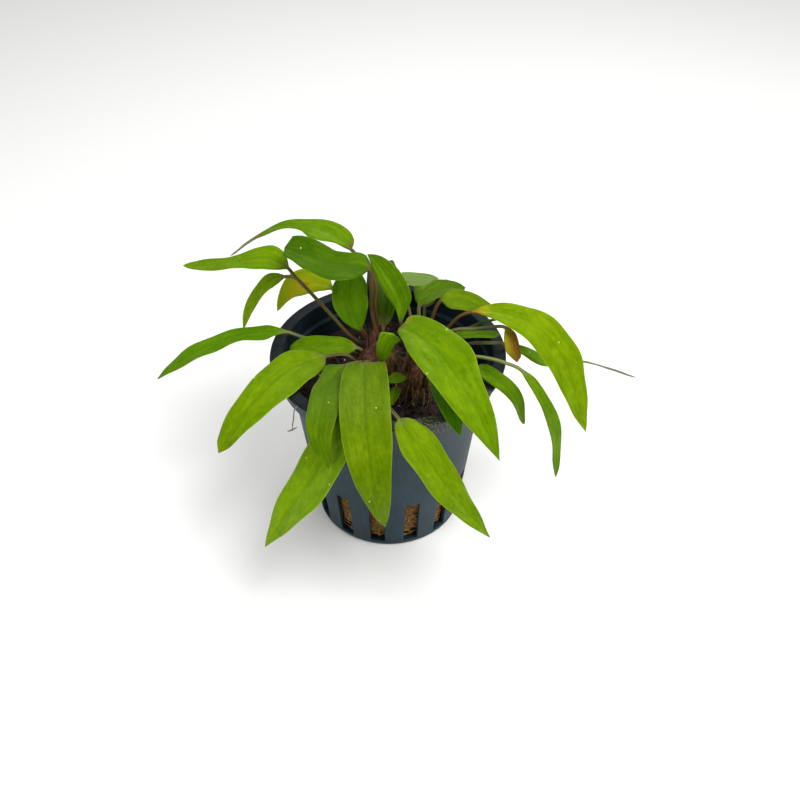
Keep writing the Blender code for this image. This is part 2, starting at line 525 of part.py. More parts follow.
def make_leaf(leaf, material):
    """Sweep a ring along the leaf's route: round along the stalk, then a flat, slightly cupped lens."""
    points = [stalk_foot(leaf)] + leaf.stalk + leaf.blade
    curve, marks = smooth_curve(points)
    base = marks[1 + len(leaf.stalk)]
    stalk = evenly(curve[:base + 1], STALK_RING_PITCH, 2)
    blade = evenly(curve[base:], BLADE_RING_PITCH, 5)
    route = stalk + blade[1:]
    heading = Vector(leaf.blade[-1]) - Vector(leaf.blade[0])
    facing = math.atan2(heading.y, heading.x)
    if leaf.facing_deg is not None:
        facing = math.radians(leaf.facing_deg)
    across = Vector((-math.sin(facing), math.cos(facing), 0))
    bm = bmesh.new()
    rings = []
    for i, point in enumerate(route[:-1]):
        t = max(0.0, (i - len(stalk) + 1) / (len(blade) - 1))
        along = (route[i + 1] - route[max(i - 1, 0)]).normalized()
        side = (across - across.dot(along) * along).normalized()
        up = along.cross(side)
        roll = math.radians(leaf.roll_deg[0] + (leaf.roll_deg[1] - leaf.roll_deg[0]) * t)
        side, up = side * math.cos(roll) + up * math.sin(roll), up * math.cos(roll) - side * math.sin(roll)
        left, right = half_widths(leaf, t)
        half_depth = max(BLADE_HALF_THICKNESS, leaf.stalk_radius * (1 - 2.5 * t))
        ring = []
        for k in range(RING_POINTS):
            angle = math.tau * k / RING_POINTS
            s = math.cos(angle)
            width = left if s > 0 else right
            height = half_depth * math.sin(angle)
            if t > 0:
                height += BLADE_CUP * width * abs(s) ** 1.6
            ring.append(bm.verts.new((point + side * (width * s) + up * height) * MM))
        rings.append(ring)
    rings.append([bm.verts.new(route[-1] * MM)])
    skin_rings(bm, rings)
    finish_object(leaf.name, bm, material, 60)


def make_root(material):
    """Short root thread: a thin six-sided tube that hangs straight enough for level rings."""
    bm = bmesh.new()
    rings = []
    for point in evenly(smooth_curve(ROOT_ROUTE)[0], 1.2, 4):
        ring = []
        for k in range(6):
            angle = math.tau * k / 6
            offset = Vector((math.cos(angle), math.sin(angle), 0)) * ROOT_RADIUS
            ring.append(bm.verts.new((point + offset) * MM))
        rings.append(ring)
    skin_rings(bm, rings)
    finish_object("root_thread", bm, material)


def main():
    clear_scene()
    materials = {name: plain_material(name) for name in COLOURS}
    make_pot(materials["pot"])
    make_plug(materials["rockwool"])
    for name, place in CROWNS.items():
        make_crown(name, place, materials["crown"])
    for leaf in LEAVES:
        make_leaf(leaf, materials[leaf.colour])
    make_root(materials["root"])


main()
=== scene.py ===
import math
import random
from dataclasses import dataclass

import bmesh
import bpy
from mathutils import Matrix, Vector, noise


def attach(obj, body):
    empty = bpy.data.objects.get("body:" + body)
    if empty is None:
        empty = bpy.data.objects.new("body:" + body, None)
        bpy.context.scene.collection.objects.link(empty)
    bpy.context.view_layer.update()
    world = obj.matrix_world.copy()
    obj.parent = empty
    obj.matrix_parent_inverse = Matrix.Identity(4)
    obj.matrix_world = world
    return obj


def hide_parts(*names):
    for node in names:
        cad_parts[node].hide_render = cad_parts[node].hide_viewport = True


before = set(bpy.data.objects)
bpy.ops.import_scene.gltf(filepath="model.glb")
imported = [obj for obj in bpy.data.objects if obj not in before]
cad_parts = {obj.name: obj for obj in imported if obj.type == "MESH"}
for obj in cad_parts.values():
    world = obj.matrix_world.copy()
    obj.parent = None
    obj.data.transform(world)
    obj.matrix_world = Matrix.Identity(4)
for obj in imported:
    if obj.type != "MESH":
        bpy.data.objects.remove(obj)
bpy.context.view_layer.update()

MM = 0.001

# Pot
POT_HEIGHT = 48.0
RIM_RADIUS = 27.5
RIM_WIDTH = 3.1
RIM_THICKNESS = 1.0
WALL = 1.0
BASE_RADIUS, BASE_ROUND = 18.2, 0.7
SHOULDER_RADIUS, SHOULDER_HEIGHT = 22.2, 34.7
STEP_RADIUS, STEP_HEIGHT = 24.6, 42.0
COLLAR_RADIUS = 25.6
FLOOR_THICKNESS = 1.2
SLOT_COUNT = 14
SLOT_WIDTH = 3.6
SLOT_BOTTOM, SLOT_TOP = 1.5, 15.5
SLOT_OFFSET_DEG = -8.6
DRAIN_WIDTH = 2.2
DRAIN_INNER, DRAIN_OUTER = 7.0, 14.5
EDGE_ROUND = 0.2
DIRT_HEADING_DEG = -62

# Rockwool plug
PLUG_BOTTOM, PLUG_TOP = 4.0, 40.0
PLUG_CLEAR = 0.5
STRANDS_PER_SLOT = 64
CRUMBS, WHITE_EVERY = 620, 31

# Crowns
CROWN_PROFILE = [(0.0, 4.0), (1.4, 4.3), (3.8, 3.9), (5.8, 2.9), (7.2, 1.7)]  # height above its foot, radius
CROWN_HEIGHT = 7.9
CROWN_FOOT = 40.3
SHEATHS, FIBRES = 52, 90
CROWNS = {"crown_left": (-2.5, 2.0), "crown_right": (6.5, -2.0)}

# Leaves
FOOT_GAP = 0.5
LAMINA_HALF = 0.2  # half the thickness of a blade at its middle
STALK_PITCH, BLADE_PITCH = 0.9, 0.7
ACROSS = [0, 0.04, 0.09, 0.15, 0.23, 0.32, 0.42, 0.52, 0.62, 0.72, 0.81, 0.88, 0.94, 0.98]
SPAN = [-1.0] + [-u for u in reversed(ACROSS[1:])] + ACROSS + [1.0]  # midrib at 0, margins at -1 and 1

# Root thread
ROOT_RADIUS = 0.15
ROOT_ROUTE = [(-19.6, -19.4, 47.6), (-20.1, -19.9, 47.3), (-20.4, -20.2, 46.4), (-20.6, -20.3, 44.6),
              (-20.9, -20.4, 43.0), (-21.0, -20.6, 41.6)]  # from the flange's edge down

# Camera
LENS = 43.6
CAMERA_PLACE = (2.8, -178.0, 187.5)
CAMERA_AIM = (2.8, 0.0, 32.5)


@dataclass
class Leaf:
    """One leaf: its stalk's foot on a crown, then points on the way of its stalk and its blade's midrib."""
    name: str
    crown: str
    foot_deg: float
    foot_height: float
    stalk: list
    blade: list
    width: float
    finish: str = "leaf_bright"
    outline: list = None  # (share of the way along, margin left of the midrib, right of it), in half-widths
    rise: float = 0.42  # how fast a lance-shaped blade widens from its base, where no outline is given
    taper: float = 0.8  # how slowly it narrows towards its tip
    facing_deg: float = None  # heading that the blade's width lies square to, where it isn't base to tip
    roll_deg: tuple = (0, 0)  # turn about the midrib at the blade's base and at its tip, left margin up
    stalk_radius: float = 0.42
    cup: float = 0.15
    wave: float = 0.25  # how far the margins ripple, in mm
    tone: tuple = (0.0, 0.0, 0.6)  # lighter or darker, yellower or bluer, stalk grey-olive (0) to red (1)
    lobes: tuple = (0.0, 0.0)  # how far the blade's base runs back beside the stalk, left and right, in mm
    aged: tuple = ()  # places: kind, share along the blade, place across, reach along and across, amount


YELLOW, BROWN, DRY = 0, 1, 2  # kinds of ageing

LEAVES = [
    # Over the front of the rim
    Leaf("leaf_front_centre", "crown_left", 262, 45.0,
         [(-4.4, -5, 48.5)],
         [(-5, -8.4, 50.8), (-4.9, -18, 52.9), (-4.3, -30.5, 52.4), (-3.3, -38, 49), (-1.9, -41, 40.2),
          (-0.3, -41, 32.5)],
         10.8,
         outline=[(0.03, 0.8, 0.5), (0.08, 0.9, 0.65), (0.16, 0.95, 0.9), (0.35, 1, 1), (0.55, 0.95, 0.95),
                  (0.72, 0.7, 0.7), (0.85, 0.5, 0.4), (0.94, 0.25, 0.2)], tone=(-0.35, 0.15, 0.5),
         lobes=(1.6, 2.2), aged=[(BROWN, 1.0, 0, 0.015, 3, 0.5)]),
    Leaf("leaf_front_inner", "crown_left", 232, 45.5,
         [(-6.8, -4.5, 48)],
         [(-9.5, -7, 49), (-12.5, -16, 51), (-13.6, -26, 52.5), (-13.7, -33, 50.3), (-12, -36, 45)],
         7.6, "leaf_mid",
         outline=[(0.06, 0.85, 0.85), (0.25, 1, 0.8), (0.55, 1, 0.8), (0.7, 0.85, 0.75), (0.85, 0.55, 0.5),
                  (0.95, 0.3, 0.2)], tone=(-0.33, 0.2, 0.5)),
    Leaf("leaf_low_left", "crown_left", 247, 42.3,
         [(-4.7, -8, 46.5), (-5, -14, 49)],
         [(-6.3, -20, 50), (-9.2, -28, 49.4), (-13.5, -32.8, 43.7), (-19.5, -35.6, 34.5), (-27, -38, 22.5)],
         12.0,
         outline=[(0.1, 0.6, 0.6), (0.25, 0.9, 0.8), (0.4, 1, 0.85), (0.55, 0.95, 0.8), (0.7, 0.7, 0.7),
                  (0.82, 0.45, 0.55), (0.92, 0.2, 0.3)], tone=(0.1, 0.12, 0.5),
         aged=[(BROWN, 1.0, 0, 0.02, 3, 0.6)]),
    Leaf("leaf_front_left", "crown_left", 206, 44.0,
         [(-10, -2.4, 48.5)],
         [(-14.4, -3.2, 48.5), (-21.4, -8.8, 49.5), (-27.5, -16.4, 48.7), (-32, -21.7, 46),
          (-36.9, -25.9, 39.6)],
         10.8,
         outline=[(0.04, 0.5, 0.4), (0.25, 0.95, 0.8), (0.4, 1, 0.75), (0.6, 0.85, 0.65), (0.8, 0.55, 0.5),
                  (0.93, 0.3, 0.35)], roll_deg=(-15, -15), tone=(-0.14, 0.15, 0.6),
         aged=[(BROWN, 1.0, 0, 0.02, 3, 0.6)]),
    Leaf("leaf_low_right", "crown_left", 279, 42.6,
         [(-1.8, -8, 46.2), (-1.9, -13, 48), (-0.6, -20, 49.6)],
         [(2.6, -27, 50.6), (6.8, -31.7, 47.4), (12.5, -35.7, 39.8), (22.6, -38, 25.5)],
         9.0,
         outline=[(0.08, 0.6, 0.6), (0.2, 0.9, 1), (0.4, 0.9, 0.95), (0.55, 0.75, 0.85), (0.7, 0.55, 0.6),
                  (0.85, 0.3, 0.35)], roll_deg=(15, 20), tone=(-0.14, 0.18, 0.4), lobes=(0.8, 0.8),
         aged=[(BROWN, 1.0, 0, 0.025, 3, 0.7), (BROWN, 0.5, 1.0, 0.02, 0.12, 0.8)]),
    Leaf("leaf_right_broad", "crown_right", 235, 46.0,
         [(4.6, -5, 51), (3.8, -4.4, 55)],
         [(2.8, -5, 58), (7.2, -10.4, 59.7), (12, -16.6, 58.8), (16.2, -22.8, 55.8), (20, -27.6, 50.9),
          (24, -31, 42.3)],
         12.0,
         outline=[(0.03, 0.5, 0.2), (0.1, 0.7, 0.45), (0.25, 0.9, 0.85), (0.4, 1, 0.95), (0.55, 0.75, 0.85),
                  (0.7, 0.55, 0.7), (0.85, 0.35, 0.35)], roll_deg=(15, 15), tone=(-0.18, 0.05, 0.6),
         lobes=(2.2, 0.6), aged=[(YELLOW, 0.03, 0.9, 0.04, 0.5, 0.4)]),
    Leaf("leaf_right_shaded", "crown_right", 290, 42.5,
         [(8.6, -9, 48)],
         [(10.8, -13, 51), (13.5, -22, 50.3), (15.8, -26.2, 45)],
         6.0, "leaf_dark", tone=(0.2, -0.15, 0.5)),
    # To the left
    Leaf("leaf_left_short", "crown_left", 186, 46.5,
         [],
         [(-7.4, 1.1, 47.8), (-11, 1, 48.3), (-17.4, 1.2, 48.3), (-21.6, 1.6, 47.6), (-23.5, 1.9, 46.2)],
         7.0, "leaf_mid",
         outline=[(0.08, 0.5, 0.4), (0.25, 0.9, 0.7), (0.5, 1, 0.75), (0.7, 0.9, 0.65), (0.85, 0.6, 0.45),
                  (0.94, 0.25, 0.3)], roll_deg=(-20, -20), tone=(-0.2, 0.2, 0.3)),
    Leaf("leaf_left_long", "crown_left", 172, 44.5,
         [(-13.8, 4.7, 46.3), (-19.8, 4.6, 48)],
         [(-23.8, 3.9, 50.3), (-28.4, 3.8, 50.4), (-34.6, 4, 49.6), (-41.2, 2.6, 47.8), (-47.5, 0.4, 45.5),
          (-54.7, -2, 40.7)],
         6.0, "leaf_mid",
         outline=[(0.08, 0.5, 0.4), (0.15, 0.85, 0.6), (0.3, 0.8, 0.55), (0.42, 0.8, 0.6),
                  (0.55, 0.95, 0.7), (0.7, 0.8, 0.65), (0.85, 0.55, 0.5)], roll_deg=(-15, -15),
         tone=(-0.12, 0.0, 0.1), aged=[(BROWN, 1.0, 0, 0.03, 3, 0.7)]),
    Leaf("leaf_left_high", "crown_left", 148, 46.0,
         [(-9.3, 4.6, 49), (-13.1, 6, 53.4), (-18.5, 8, 59.3), (-21.6, 9.5, 62.2)],
         [(-23, 10.1, 64), (-27.5, 11.1, 66.1), (-34.8, 13, 64.1), (-42.8, 15.6, 61.1), (-49.2, 18, 59.5)],
         6.6, "leaf_mid",
         outline=[(0.08, 0.7, 0.8), (0.16, 0.95, 1), (0.25, 1, 0.8), (0.4, 0.8, 0.55), (0.6, 0.6, 0.45),
                  (0.8, 0.5, 0.5), (0.92, 0.3, 0.35)], roll_deg=(-30, -20), tone=(0.1, 0.3, 0.7)),
    Leaf("leaf_left_drooping", "crown_left", 152, 43.2,
         [(-9.3, 6, 47.7), (-13.1, 7.4, 52.2), (-18.5, 9.5, 58.1), (-21.6, 10.9, 60.7)],
         [(-24.3, 11.6, 60.6), (-28.4, 11.7, 59.2), (-32.7, 9.8, 53.6), (-34.8, 8, 47.5)],
         4.4, "leaf_dark",
         outline=[(0.08, 0.7, 0.5), (0.2, 1, 0.75), (0.4, 0.9, 0.55), (0.6, 0.7, 0.55), (0.8, 0.35, 0.5)],
         roll_deg=(-25, -45), tone=(0.45, 0.5, 0.5)),
    Leaf("leaf_left_yellow", "crown_left", 108, 43.5,
         [(-9.2, 11, 51.5)],
         [(-13.5, 13.5, 56), (-18, 15.5, 56.6), (-23, 15.6, 54.6), (-27.2, 14.5, 48.5)],
         7.0, "leaf_yellow",
         outline=[(0.1, 0.6, 0.6), (0.25, 0.9, 0.9), (0.45, 0.85, 0.95), (0.7, 0.5, 0.7), (0.85, 0.25, 0.45)],
         roll_deg=(-30, -60), tone=(0.2, 0.15, 0.4),
         aged=[(YELLOW, 0.5, 0.3, 0.25, 0.8, 0.6), (BROWN, 0.4, 0.2, 0.06, 0.2, 0.8)]),
    # To the back
    Leaf("leaf_arching_high", "crown_left", 85, 46.0,
         [(-2.6, 4.2, 51.5), (-2.8, 3.4, 58), (-2.8, 5, 63.5)],
         [(-8.6, 14.5, 66.3), (-13.5, 18, 68.6), (-20, 20.8, 69.3), (-26.5, 22.2, 67.5), (-33.4, 23.3, 62.9),
          (-38.4, 22, 59.6)],
         8.0, "leaf_mid",
         outline=[(0.04, 0.25, 0.6), (0.1, 0.45, 0.8), (0.2, 0.95, 0.7), (0.27, 1, 0.6), (0.4, 0.5, 0.35),
                  (0.55, 0.35, 0.25), (0.7, 0.2, 0.2), (0.82, 0.08, 0.08), (0.97, 0.05, 0.05)],
         roll_deg=(-20, -20), tone=(-0.05, 0.2, 0.9),
         aged=[(DRY, 1.0, 0, 0.22, 3, 1.0), (BROWN, 0.76, 0, 0.05, 3, 0.3)]),
    Leaf("leaf_top_dark", "crown_left", 300, 47.3,
         [(-2.4, 0.6, 52), (-3.7, 1.8, 58), (-3.7, 3.3, 63.4)],
         [(-3.9, 4.5, 67.2), (-8, 4.2, 68.6), (-12.4, 4.1, 69.2), (-17, 5, 70.5), (-22.9, 7, 71.5)],
         9.4, "leaf_dark",
         outline=[(0.08, 0.45, 0.65), (0.15, 0.6, 0.7), (0.25, 0.9, 0.6), (0.4, 1, 0.65), (0.55, 0.9, 0.8),
                  (0.7, 0.85, 0.85), (0.85, 0.62, 0.82), (0.985, 0.45, 0.62)], roll_deg=(-25, -25),
         tone=(-0.28, -0.05, 0.9)),
    Leaf("leaf_centre_upright", "crown_left", 125, 46.5,
         [],
         [(-6.5, 5.4, 49.6), (-8.3, 7.4, 52.5), (-9, 9.8, 55.5), (-9, 11.6, 59), (-9.2, 13.2, 63)],
         8.8, "leaf_dark",
         outline=[(0.08, 0.3, 0.45), (0.25, 0.7, 0.8), (0.45, 1, 0.95), (0.65, 1, 0.95), (0.82, 0.75, 0.7),
                  (0.93, 0.4, 0.35)], tone=(0.05, 0.08, 1.0)),
    Leaf("leaf_back_pale", "crown_right", 90, 43.5,
         [(6, 4.5, 48), (4.6, 10.5, 53.3), (2, 15.5, 55.8)],
         [(3.2, 17.4, 56.2), (7.2, 18, 55.8), (12.3, 19.2, 55)],
         9.6, "leaf_pale",
         outline=[(0.06, 0.5, 0.7), (0.2, 0.5, 1), (0.4, 0.45, 0.9), (0.6, 0.35, 0.65), (0.8, 0.25, 0.25)],
         tone=(-0.25, 0.0, 0.6)),
    Leaf("leaf_right_upright", "crown_right", 115, 46.5,
         [(4.2, 2, 50.5)],
         [(3, 2.4, 54.3), (3.2, 5.1, 57.5), (1.2, 7.8, 61.3), (-2.2, 11.1, 64.8), (-4.8, 13, 65.9)],
         5.8, "leaf_mid",
         outline=[(0.08, 0.3, 0.3), (0.16, 0.55, 0.45), (0.28, 0.8, 0.9), (0.45, 0.95, 1),
                  (0.6, 0.95, 0.95), (0.75, 0.8, 0.75), (0.9, 0.4, 0.4)], facing_deg=90,
         tone=(-0.3, 0.0, 1.0)),
    Leaf("leaf_back_right", "crown_right", 74, 46.0,
         [(7.6, 4.5, 50.5)],
         [(7.3, 8, 54.8), (9.2, 10.7, 55.8), (14.3, 14.4, 55.6), (18.7, 16.8, 54)],
         6.0, "leaf_mid",
         outline=[(0.1, 0.3, 0.65), (0.25, 0.6, 0.85), (0.4, 0.85, 0.9), (0.55, 1, 0.95), (0.7, 0.75, 0.9),
                  (0.85, 0.45, 0.7)], roll_deg=(0, 30), tone=(-0.45, 0.1, 0.5)),
    # Hanging over the back of the rim
    # Its tone is darkened well below the rest: painted shade, for a leaf deep in the pot's shade
    Leaf("leaf_back_low_left", "crown_left", 70, 44.0,
         [],
         [(-1.2, 9, 48), (-1, 17, 52.3), (-1.5, 26, 53), (-2.5, 34, 49.5), (-4, 39, 42), (-6, 41, 32)],
         7.0, "leaf_mid", tone=(-0.8, -0.4, 0.6)),
    Leaf("leaf_back_low_right", "crown_right", 76, 42.3,
         [(8.5, 8.5, 47.8)],
         [(8.8, 15, 49.4), (10.3, 25, 50), (13, 32, 45), (15, 35, 36)],
         7.0, "leaf_mid"),
    # To the right
    Leaf("leaf_right_inner", "crown_right", 62, 43.5,
         [(9.3, 3, 50)],
         [(12.2, 5, 58.5), (15, 5.3, 58.6), (19, 5.5, 57.5), (22.5, 5.5, 55.9), (26.8, 5, 54)],
         5.4, "leaf_mid",
         outline=[(0.05, 0.5, 0.7), (0.2, 0.95, 1), (0.5, 0.9, 1), (0.7, 0.75, 0.85), (0.85, 0.5, 0.6)],
         roll_deg=(25, 25), tone=(-0.25, 0.35, 0.9)),
    Leaf("leaf_right_long", "crown_right", 22, 47.0,
         [(11.4, -0.4, 51.2), (13.6, 0, 54.3), (16.5, 1, 57)],
         [(19.9, 1.8, 57.7), (26.8, 0.7, 57.9), (33.6, -1.8, 56.1), (39.4, -4.9, 50.7), (43, -8.2, 43.2),
          (46.3, -12, 33)],
         9.0,
         outline=[(0.04, 0.3, 0.25), (0.15, 0.55, 0.65), (0.25, 0.7, 0.8), (0.4, 0.9, 1), (0.55, 0.9, 1),
                  (0.7, 0.7, 0.8), (0.85, 0.4, 0.55), (0.94, 0.2, 0.25)], roll_deg=(20, 45),
         tone=(-0.04, 0.25, 0.9), aged=[(YELLOW, 0.02, 0, 0.06, 3, 0.4), (BROWN, 0.0, 0, 0.03, 3, 0.5)]),
    Leaf("leaf_right_thread_tip", "crown_right", 12, 43.0,
         [(15, 0, 48.3), (19.5, 0, 49.9), (23.7, 0.3, 49.8)],
         [(26.7, 0.5, 49.5), (32, 1.5, 46.5), (37.4, 2.5, 42.7), (41.8, 3, 41.8), (46.5, 3.5, 41.9),
          (53.5, 3.5, 39.4), (60.2, 3, 37.1)],
         4.2, "leaf_mid",
         outline=[(0.1, 0.4, 0.5), (0.3, 0.85, 0.9), (0.4, 0.7, 0.7), (0.5, 0.35, 0.35), (0.58, 0.12, 0.12),
                  (0.95, 0.08, 0.08)], roll_deg=(20, 20), tone=(0.4, 0.2, 0.1),
         aged=[(DRY, 1.0, 0, 0.5, 3, 1.0), (BROWN, 0.52, 0, 0.05, 3, 0.3)]),
    Leaf("leaf_right_slender", "crown_right", 47, 42.8,
         [(13.8, 3.1, 50)],
         [(18.3, 3.4, 51.8), (20.4, 4.2, 52), (22.9, 5, 52.4), (26, 6.2, 52.4)],
         1.6, "leaf_dark", rise=0.3, taper=0.4, roll_deg=(-35, -35), tone=(-0.3, 0.1, 0.3)),
    Leaf("leaf_right_short", "crown_right", 358, 46.0,
         [(11.7, -2.1, 50.8)],
         [(14.2, -2, 53), (19.9, -2, 53.9), (25.5, -2, 54.1)],
         3.2, "leaf_mid", rise=0.4, taper=0.35, tone=(-0.4, 0.1, 0.1)),
    Leaf("leaf_right_withered", "crown_right", 38, 45.0,
         [(14.4, 1.9, 51.9), (20.1, 2.1, 52.6), (24.6, 1.7, 53.5)],
         [(27, 0.2, 54.3), (28.4, -1.6, 52.6), (29.6, -2.2, 49.6), (30, -2.5, 46.2)],
         5.8, "leaf_withered",
         outline=[(0.1, 0.3, 0.4), (0.25, 0.45, 0.75), (0.45, 0.35, 1), (0.65, 0.3, 0.8), (0.85, 0.4, 0.4)],
         stalk_radius=0.4, roll_deg=(20, 20), tone=(0.0, 0.1, 0.3),
         aged=[(BROWN, 0.55, 0.4, 0.5, 1.0, 0.75), (BROWN, 1.0, 0, 0.35, 3, 0.85),
               (YELLOW, 0.3, -0.4, 0.4, 0.7, 0.3)]),
    Leaf("leaf_right_narrow_inner", "crown_right", 322, 43.0,
         [(14, -6.5, 48)],
         [(19.8, -8.6, 49.6), (23.6, -12.1, 49.8), (26.5, -13.9, 48.5), (28.7, -14.8, 45.7), (31, -16, 39)],
         4.0, "leaf_mid", rise=0.3, taper=0.6, roll_deg=(15, 15), tone=(-0.28, 0.1, 0.3)),
    Leaf("leaf_right_narrow_outer", "crown_right", 342, 45.0,
         [(13.5, -5, 49.5), (19.8, -8, 52.4), (25.9, -10, 52.3)],
         [(29.8, -12, 51.6), (33.6, -15.8, 48), (36.3, -17.7, 43.6), (38.2, -18.8, 36), (39, -20, 26)],
         3.3, "leaf_mid", rise=0.5, taper=0.7, roll_deg=(5, 25), tone=(-0.15, 0.15, 0.0),
         aged=[(BROWN, 1.0, 0, 0.03, 3, 0.8)]),
    # Young leaves at the crowns
    Leaf("leaf_crown_small", "crown_left", 285, 45.2,
         [],
         [(-1.5, -4.3, 48.5), (-0.6, -5, 52.7), (1.2, -5, 56.7)],
         5.2, "leaf_mid",
         outline=[(0.1, 0.35, 0.6), (0.4, 0.65, 0.7), (0.7, 0.9, 0.8), (0.9, 1, 0.9), (0.97, 0.85, 0.75)],
         facing_deg=90, tone=(0.5, 0.2, 0.4)),
    Leaf("baby_leaf_upper", "crown_left", 300, 43.2,
         [(-0.5, -8, 48)],
         [(0, -12, 49.2), (2.2, -12.3, 49.6), (4.4, -12, 49.4)],
         3.8, stalk_radius=0.35, tone=(-0.35, 0.0, 0.4)),
    Leaf("baby_leaf_lower", "crown_left", 318, 42.0,
         [(1.6, -8, 45.2)],
         [(2, -12, 46.6), (1.6, -14.5, 46.6), (0.9, -17, 45.5)],
         2.4, stalk_radius=0.35, tone=(-0.45, 0.0, 0.4)),
]


# Curves and skins

def smooth_curve(points, steps=12):
    """Points on a centripetal Catmull-Rom curve through the given points, and the index of each given one."""
    given = [Vector(p) for p in points]
    given = [2 * given[0] - given[1]] + given + [2 * given[-1] - given[-2]]
    curve, marks = [], []
    for p0, p1, p2, p3 in zip(given, given[1:], given[2:], given[3:]):
        t1 = (p1 - p0).length ** 0.5
        t2 = t1 + (p2 - p1).length ** 0.5
        t3 = t2 + (p3 - p2).length ** 0.5
        marks.append(len(curve))
        for i in range(steps):
            t = t1 + (t2 - t1) * i / steps
            a1 = p0.lerp(p1, t / t1)
            a2 = p1.lerp(p2, (t - t1) / (t2 - t1))
            a3 = p2.lerp(p3, (t - t2) / (t3 - t2))
            b1 = a1.lerp(a2, t / t2)
            b2 = a2.lerp(a3, (t - t1) / (t3 - t1))
            curve.append(b1.lerp(b2, (t - t1) / (t2 - t1)))
    curve.append(given[-2])
    marks.append(len(curve) - 1)
    return curve, marks


def evenly(curve, pitch, least):
    """Resample a polyline at equal steps of about the given pitch."""
    lengths = [0.0]
    for a, b in zip(curve, curve[1:]):
        lengths.append(lengths[-1] + (b - a).length)
    count = max(least, round(lengths[-1] / pitch))
    out = []
    k = 0
    for i in range(count + 1):
        target = lengths[-1] * i / count
        while k < len(curve) - 2 and lengths[k + 1] < target:
            k += 1
        out.append(curve[k].lerp(curve[k + 1], (target - lengths[k]) / (lengths[k + 1] - lengths[k])))
    return out


def through(knots, t):
    """Value at t of a smooth line through (place, value) knots, which doesn't swing past them."""
    slopes = [(b[1] - a[1]) / (b[0] - a[0]) for a, b in zip(knots, knots[1:])]
    turns = [2 * a * b / (a + b) if a * b > 0 else 0.0 for a, b in zip(slopes, slopes[1:])]
    tangents = [slopes[0]] + turns + [slopes[-1]]
    i = max(k for k in range(len(slopes)) if k == 0 or knots[k][0] <= t)
    (t0, v0), (t1, v1) = knots[i:i + 2]
    x = (t - t0) / (t1 - t0)
    return ((2 * x ** 3 - 3 * x ** 2 + 1) * v0 + (x ** 3 - 2 * x ** 2 + x) * (t1 - t0) * tangents[i]
            + (3 * x ** 2 - 2 * x ** 3) * v1 + (x ** 3 - x ** 2) * (t1 - t0) * tangents[i + 1])


def turned(radius, angle, height):
    """Point at a radius and an angle about an upright axis, and at a height."""
    return Vector((radius * math.cos(angle), radius * math.sin(angle), height))


def eased(x, low, high):
    """0 below low, 1 above high, and a smooth step between."""
    x = min(max((x - low) / (high - low), 0.0), 1.0)
    return x * x * (3 - 2 * x)


def bell(x, width):
    """1 at 0, fading out over a width."""
    return math.exp(-(x / width) ** 2)


def skin_rings(bm, rings, close=True, left_out=()):
    """Join rings of equal count into a skin, but for the faces left out. An end ring of one vertex is a
    point, and others get a cap."""
    for i, (low, high) in enumerate(zip(rings, rings[1:])):
        count = max(len(low), len(high))
        for k in range(count):
            if (i, k) in left_out:
                continue
            j = (k + 1) % count
            corners = [low[k % len(low)], low[j % len(low)], high[j % len(high)], high[k % len(high)]]
            bm.faces.new(list(dict.fromkeys(corners)))
    if close:
        for ring in (rings[0], rings[-1]):
            if len(ring) > 1:
                bm.faces.new(ring)


def thread(bm, route, radius, sides=5, flat=1.0, thin=0.4, facing=Vector((0, 0, 1))):
    """Add a fibre: a tube along a route, thinner at its ends and flattened by a share."""
    rings = []
    for i, point in enumerate(route):
        t = i / (len(route) - 1)
        along = (route[min(i + 1, len(route) - 1)] - route[max(i - 1, 0)]).normalized()
        side = along.cross(facing)
        side = side.normalized() if side.length > 0.01 else along.orthogonal().normalized()
        up = side.cross(along)
        r = radius * (thin + (1 - thin) * math.sin(math.pi * min(t * 1.1 + 0.05, 1)) ** 0.5)
        ring = []
        for k in range(sides):
            angle = math.tau * k / sides
            place = point + side * (r * math.cos(angle)) + up * (r * flat * math.sin(angle))
            ring.append(bm.verts.new(place * MM))
        rings.append(ring)
    skin_rings(bm, rings)


def piece(name, bm, material, node=None, sharp_deg=60):
    """Turn a bmesh into a finished piece that rides on the part."""
    bmesh.ops.recalc_face_normals(bm, faces=bm.faces)
    mesh = bpy.data.meshes.new(name)
    bm.to_mesh(mesh)
    bm.free()
    mesh.materials.append(material)
    mesh.shade_smooth()
    mesh.set_sharp_from_angle(angle=math.radians(sharp_deg))
    obj = bpy.data.objects.new(name, mesh)
    bpy.context.scene.collection.objects.link(obj)
    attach(obj, "root")
    if node:
        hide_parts(node)
    return obj


# Materials

def linear(hex_colour):
    """Turn an sRGB hex colour into Blender's linear values."""
    parts = [int(hex_colour[i:i + 2], 16) / 255 for i in (1, 3, 5)]
    return [c / 12.92 if c <= 0.04045 else ((c + 0.055) / 1.055) ** 2.4 for c in parts] + [1.0]


def feed(tree, node, inputs):
    """Give a node's inputs a value, a hex colour, or the output that feeds them."""
    for socket, value in dict(inputs).items():
        if isinstance(value, bpy.types.NodeSocket):
            tree.links.new(value, node.inputs[socket])
        else:
            node.inputs[socket].default_value = linear(value) if isinstance(value, str) else value


def add(tree, kind, inputs=(), stops=(), out=0, **settings):
    """Add a node with its settings and links, and give back one of its outputs, or all of them where out
    is None. Stops fill a ramp with hex colours or greys."""
    node = tree.nodes.new("ShaderNode" + kind)
    for name, value in settings.items():
        setattr(node, name, value)
    feed(tree, node, inputs)
    for i, (place, colour) in enumerate(stops):
        elements = node.color_ramp.elements
        element = elements[i] if i < 2 else elements.new(place)
        element.position = place
        element.color = linear(colour) if isinstance(colour, str) else [colour] * 3 + [1.0]
    return node.outputs if out is None else node.outputs[out]


OF_COLOURS = {"out": 2, "data_type": "RGBA"}  # for a Mix node: its colour inputs are 6 and 7


def start_material(name):
    """A new material and its node tree."""
    material = bpy.data.materials.new(name)
    material.use_nodes = True
    return material, material.node_tree


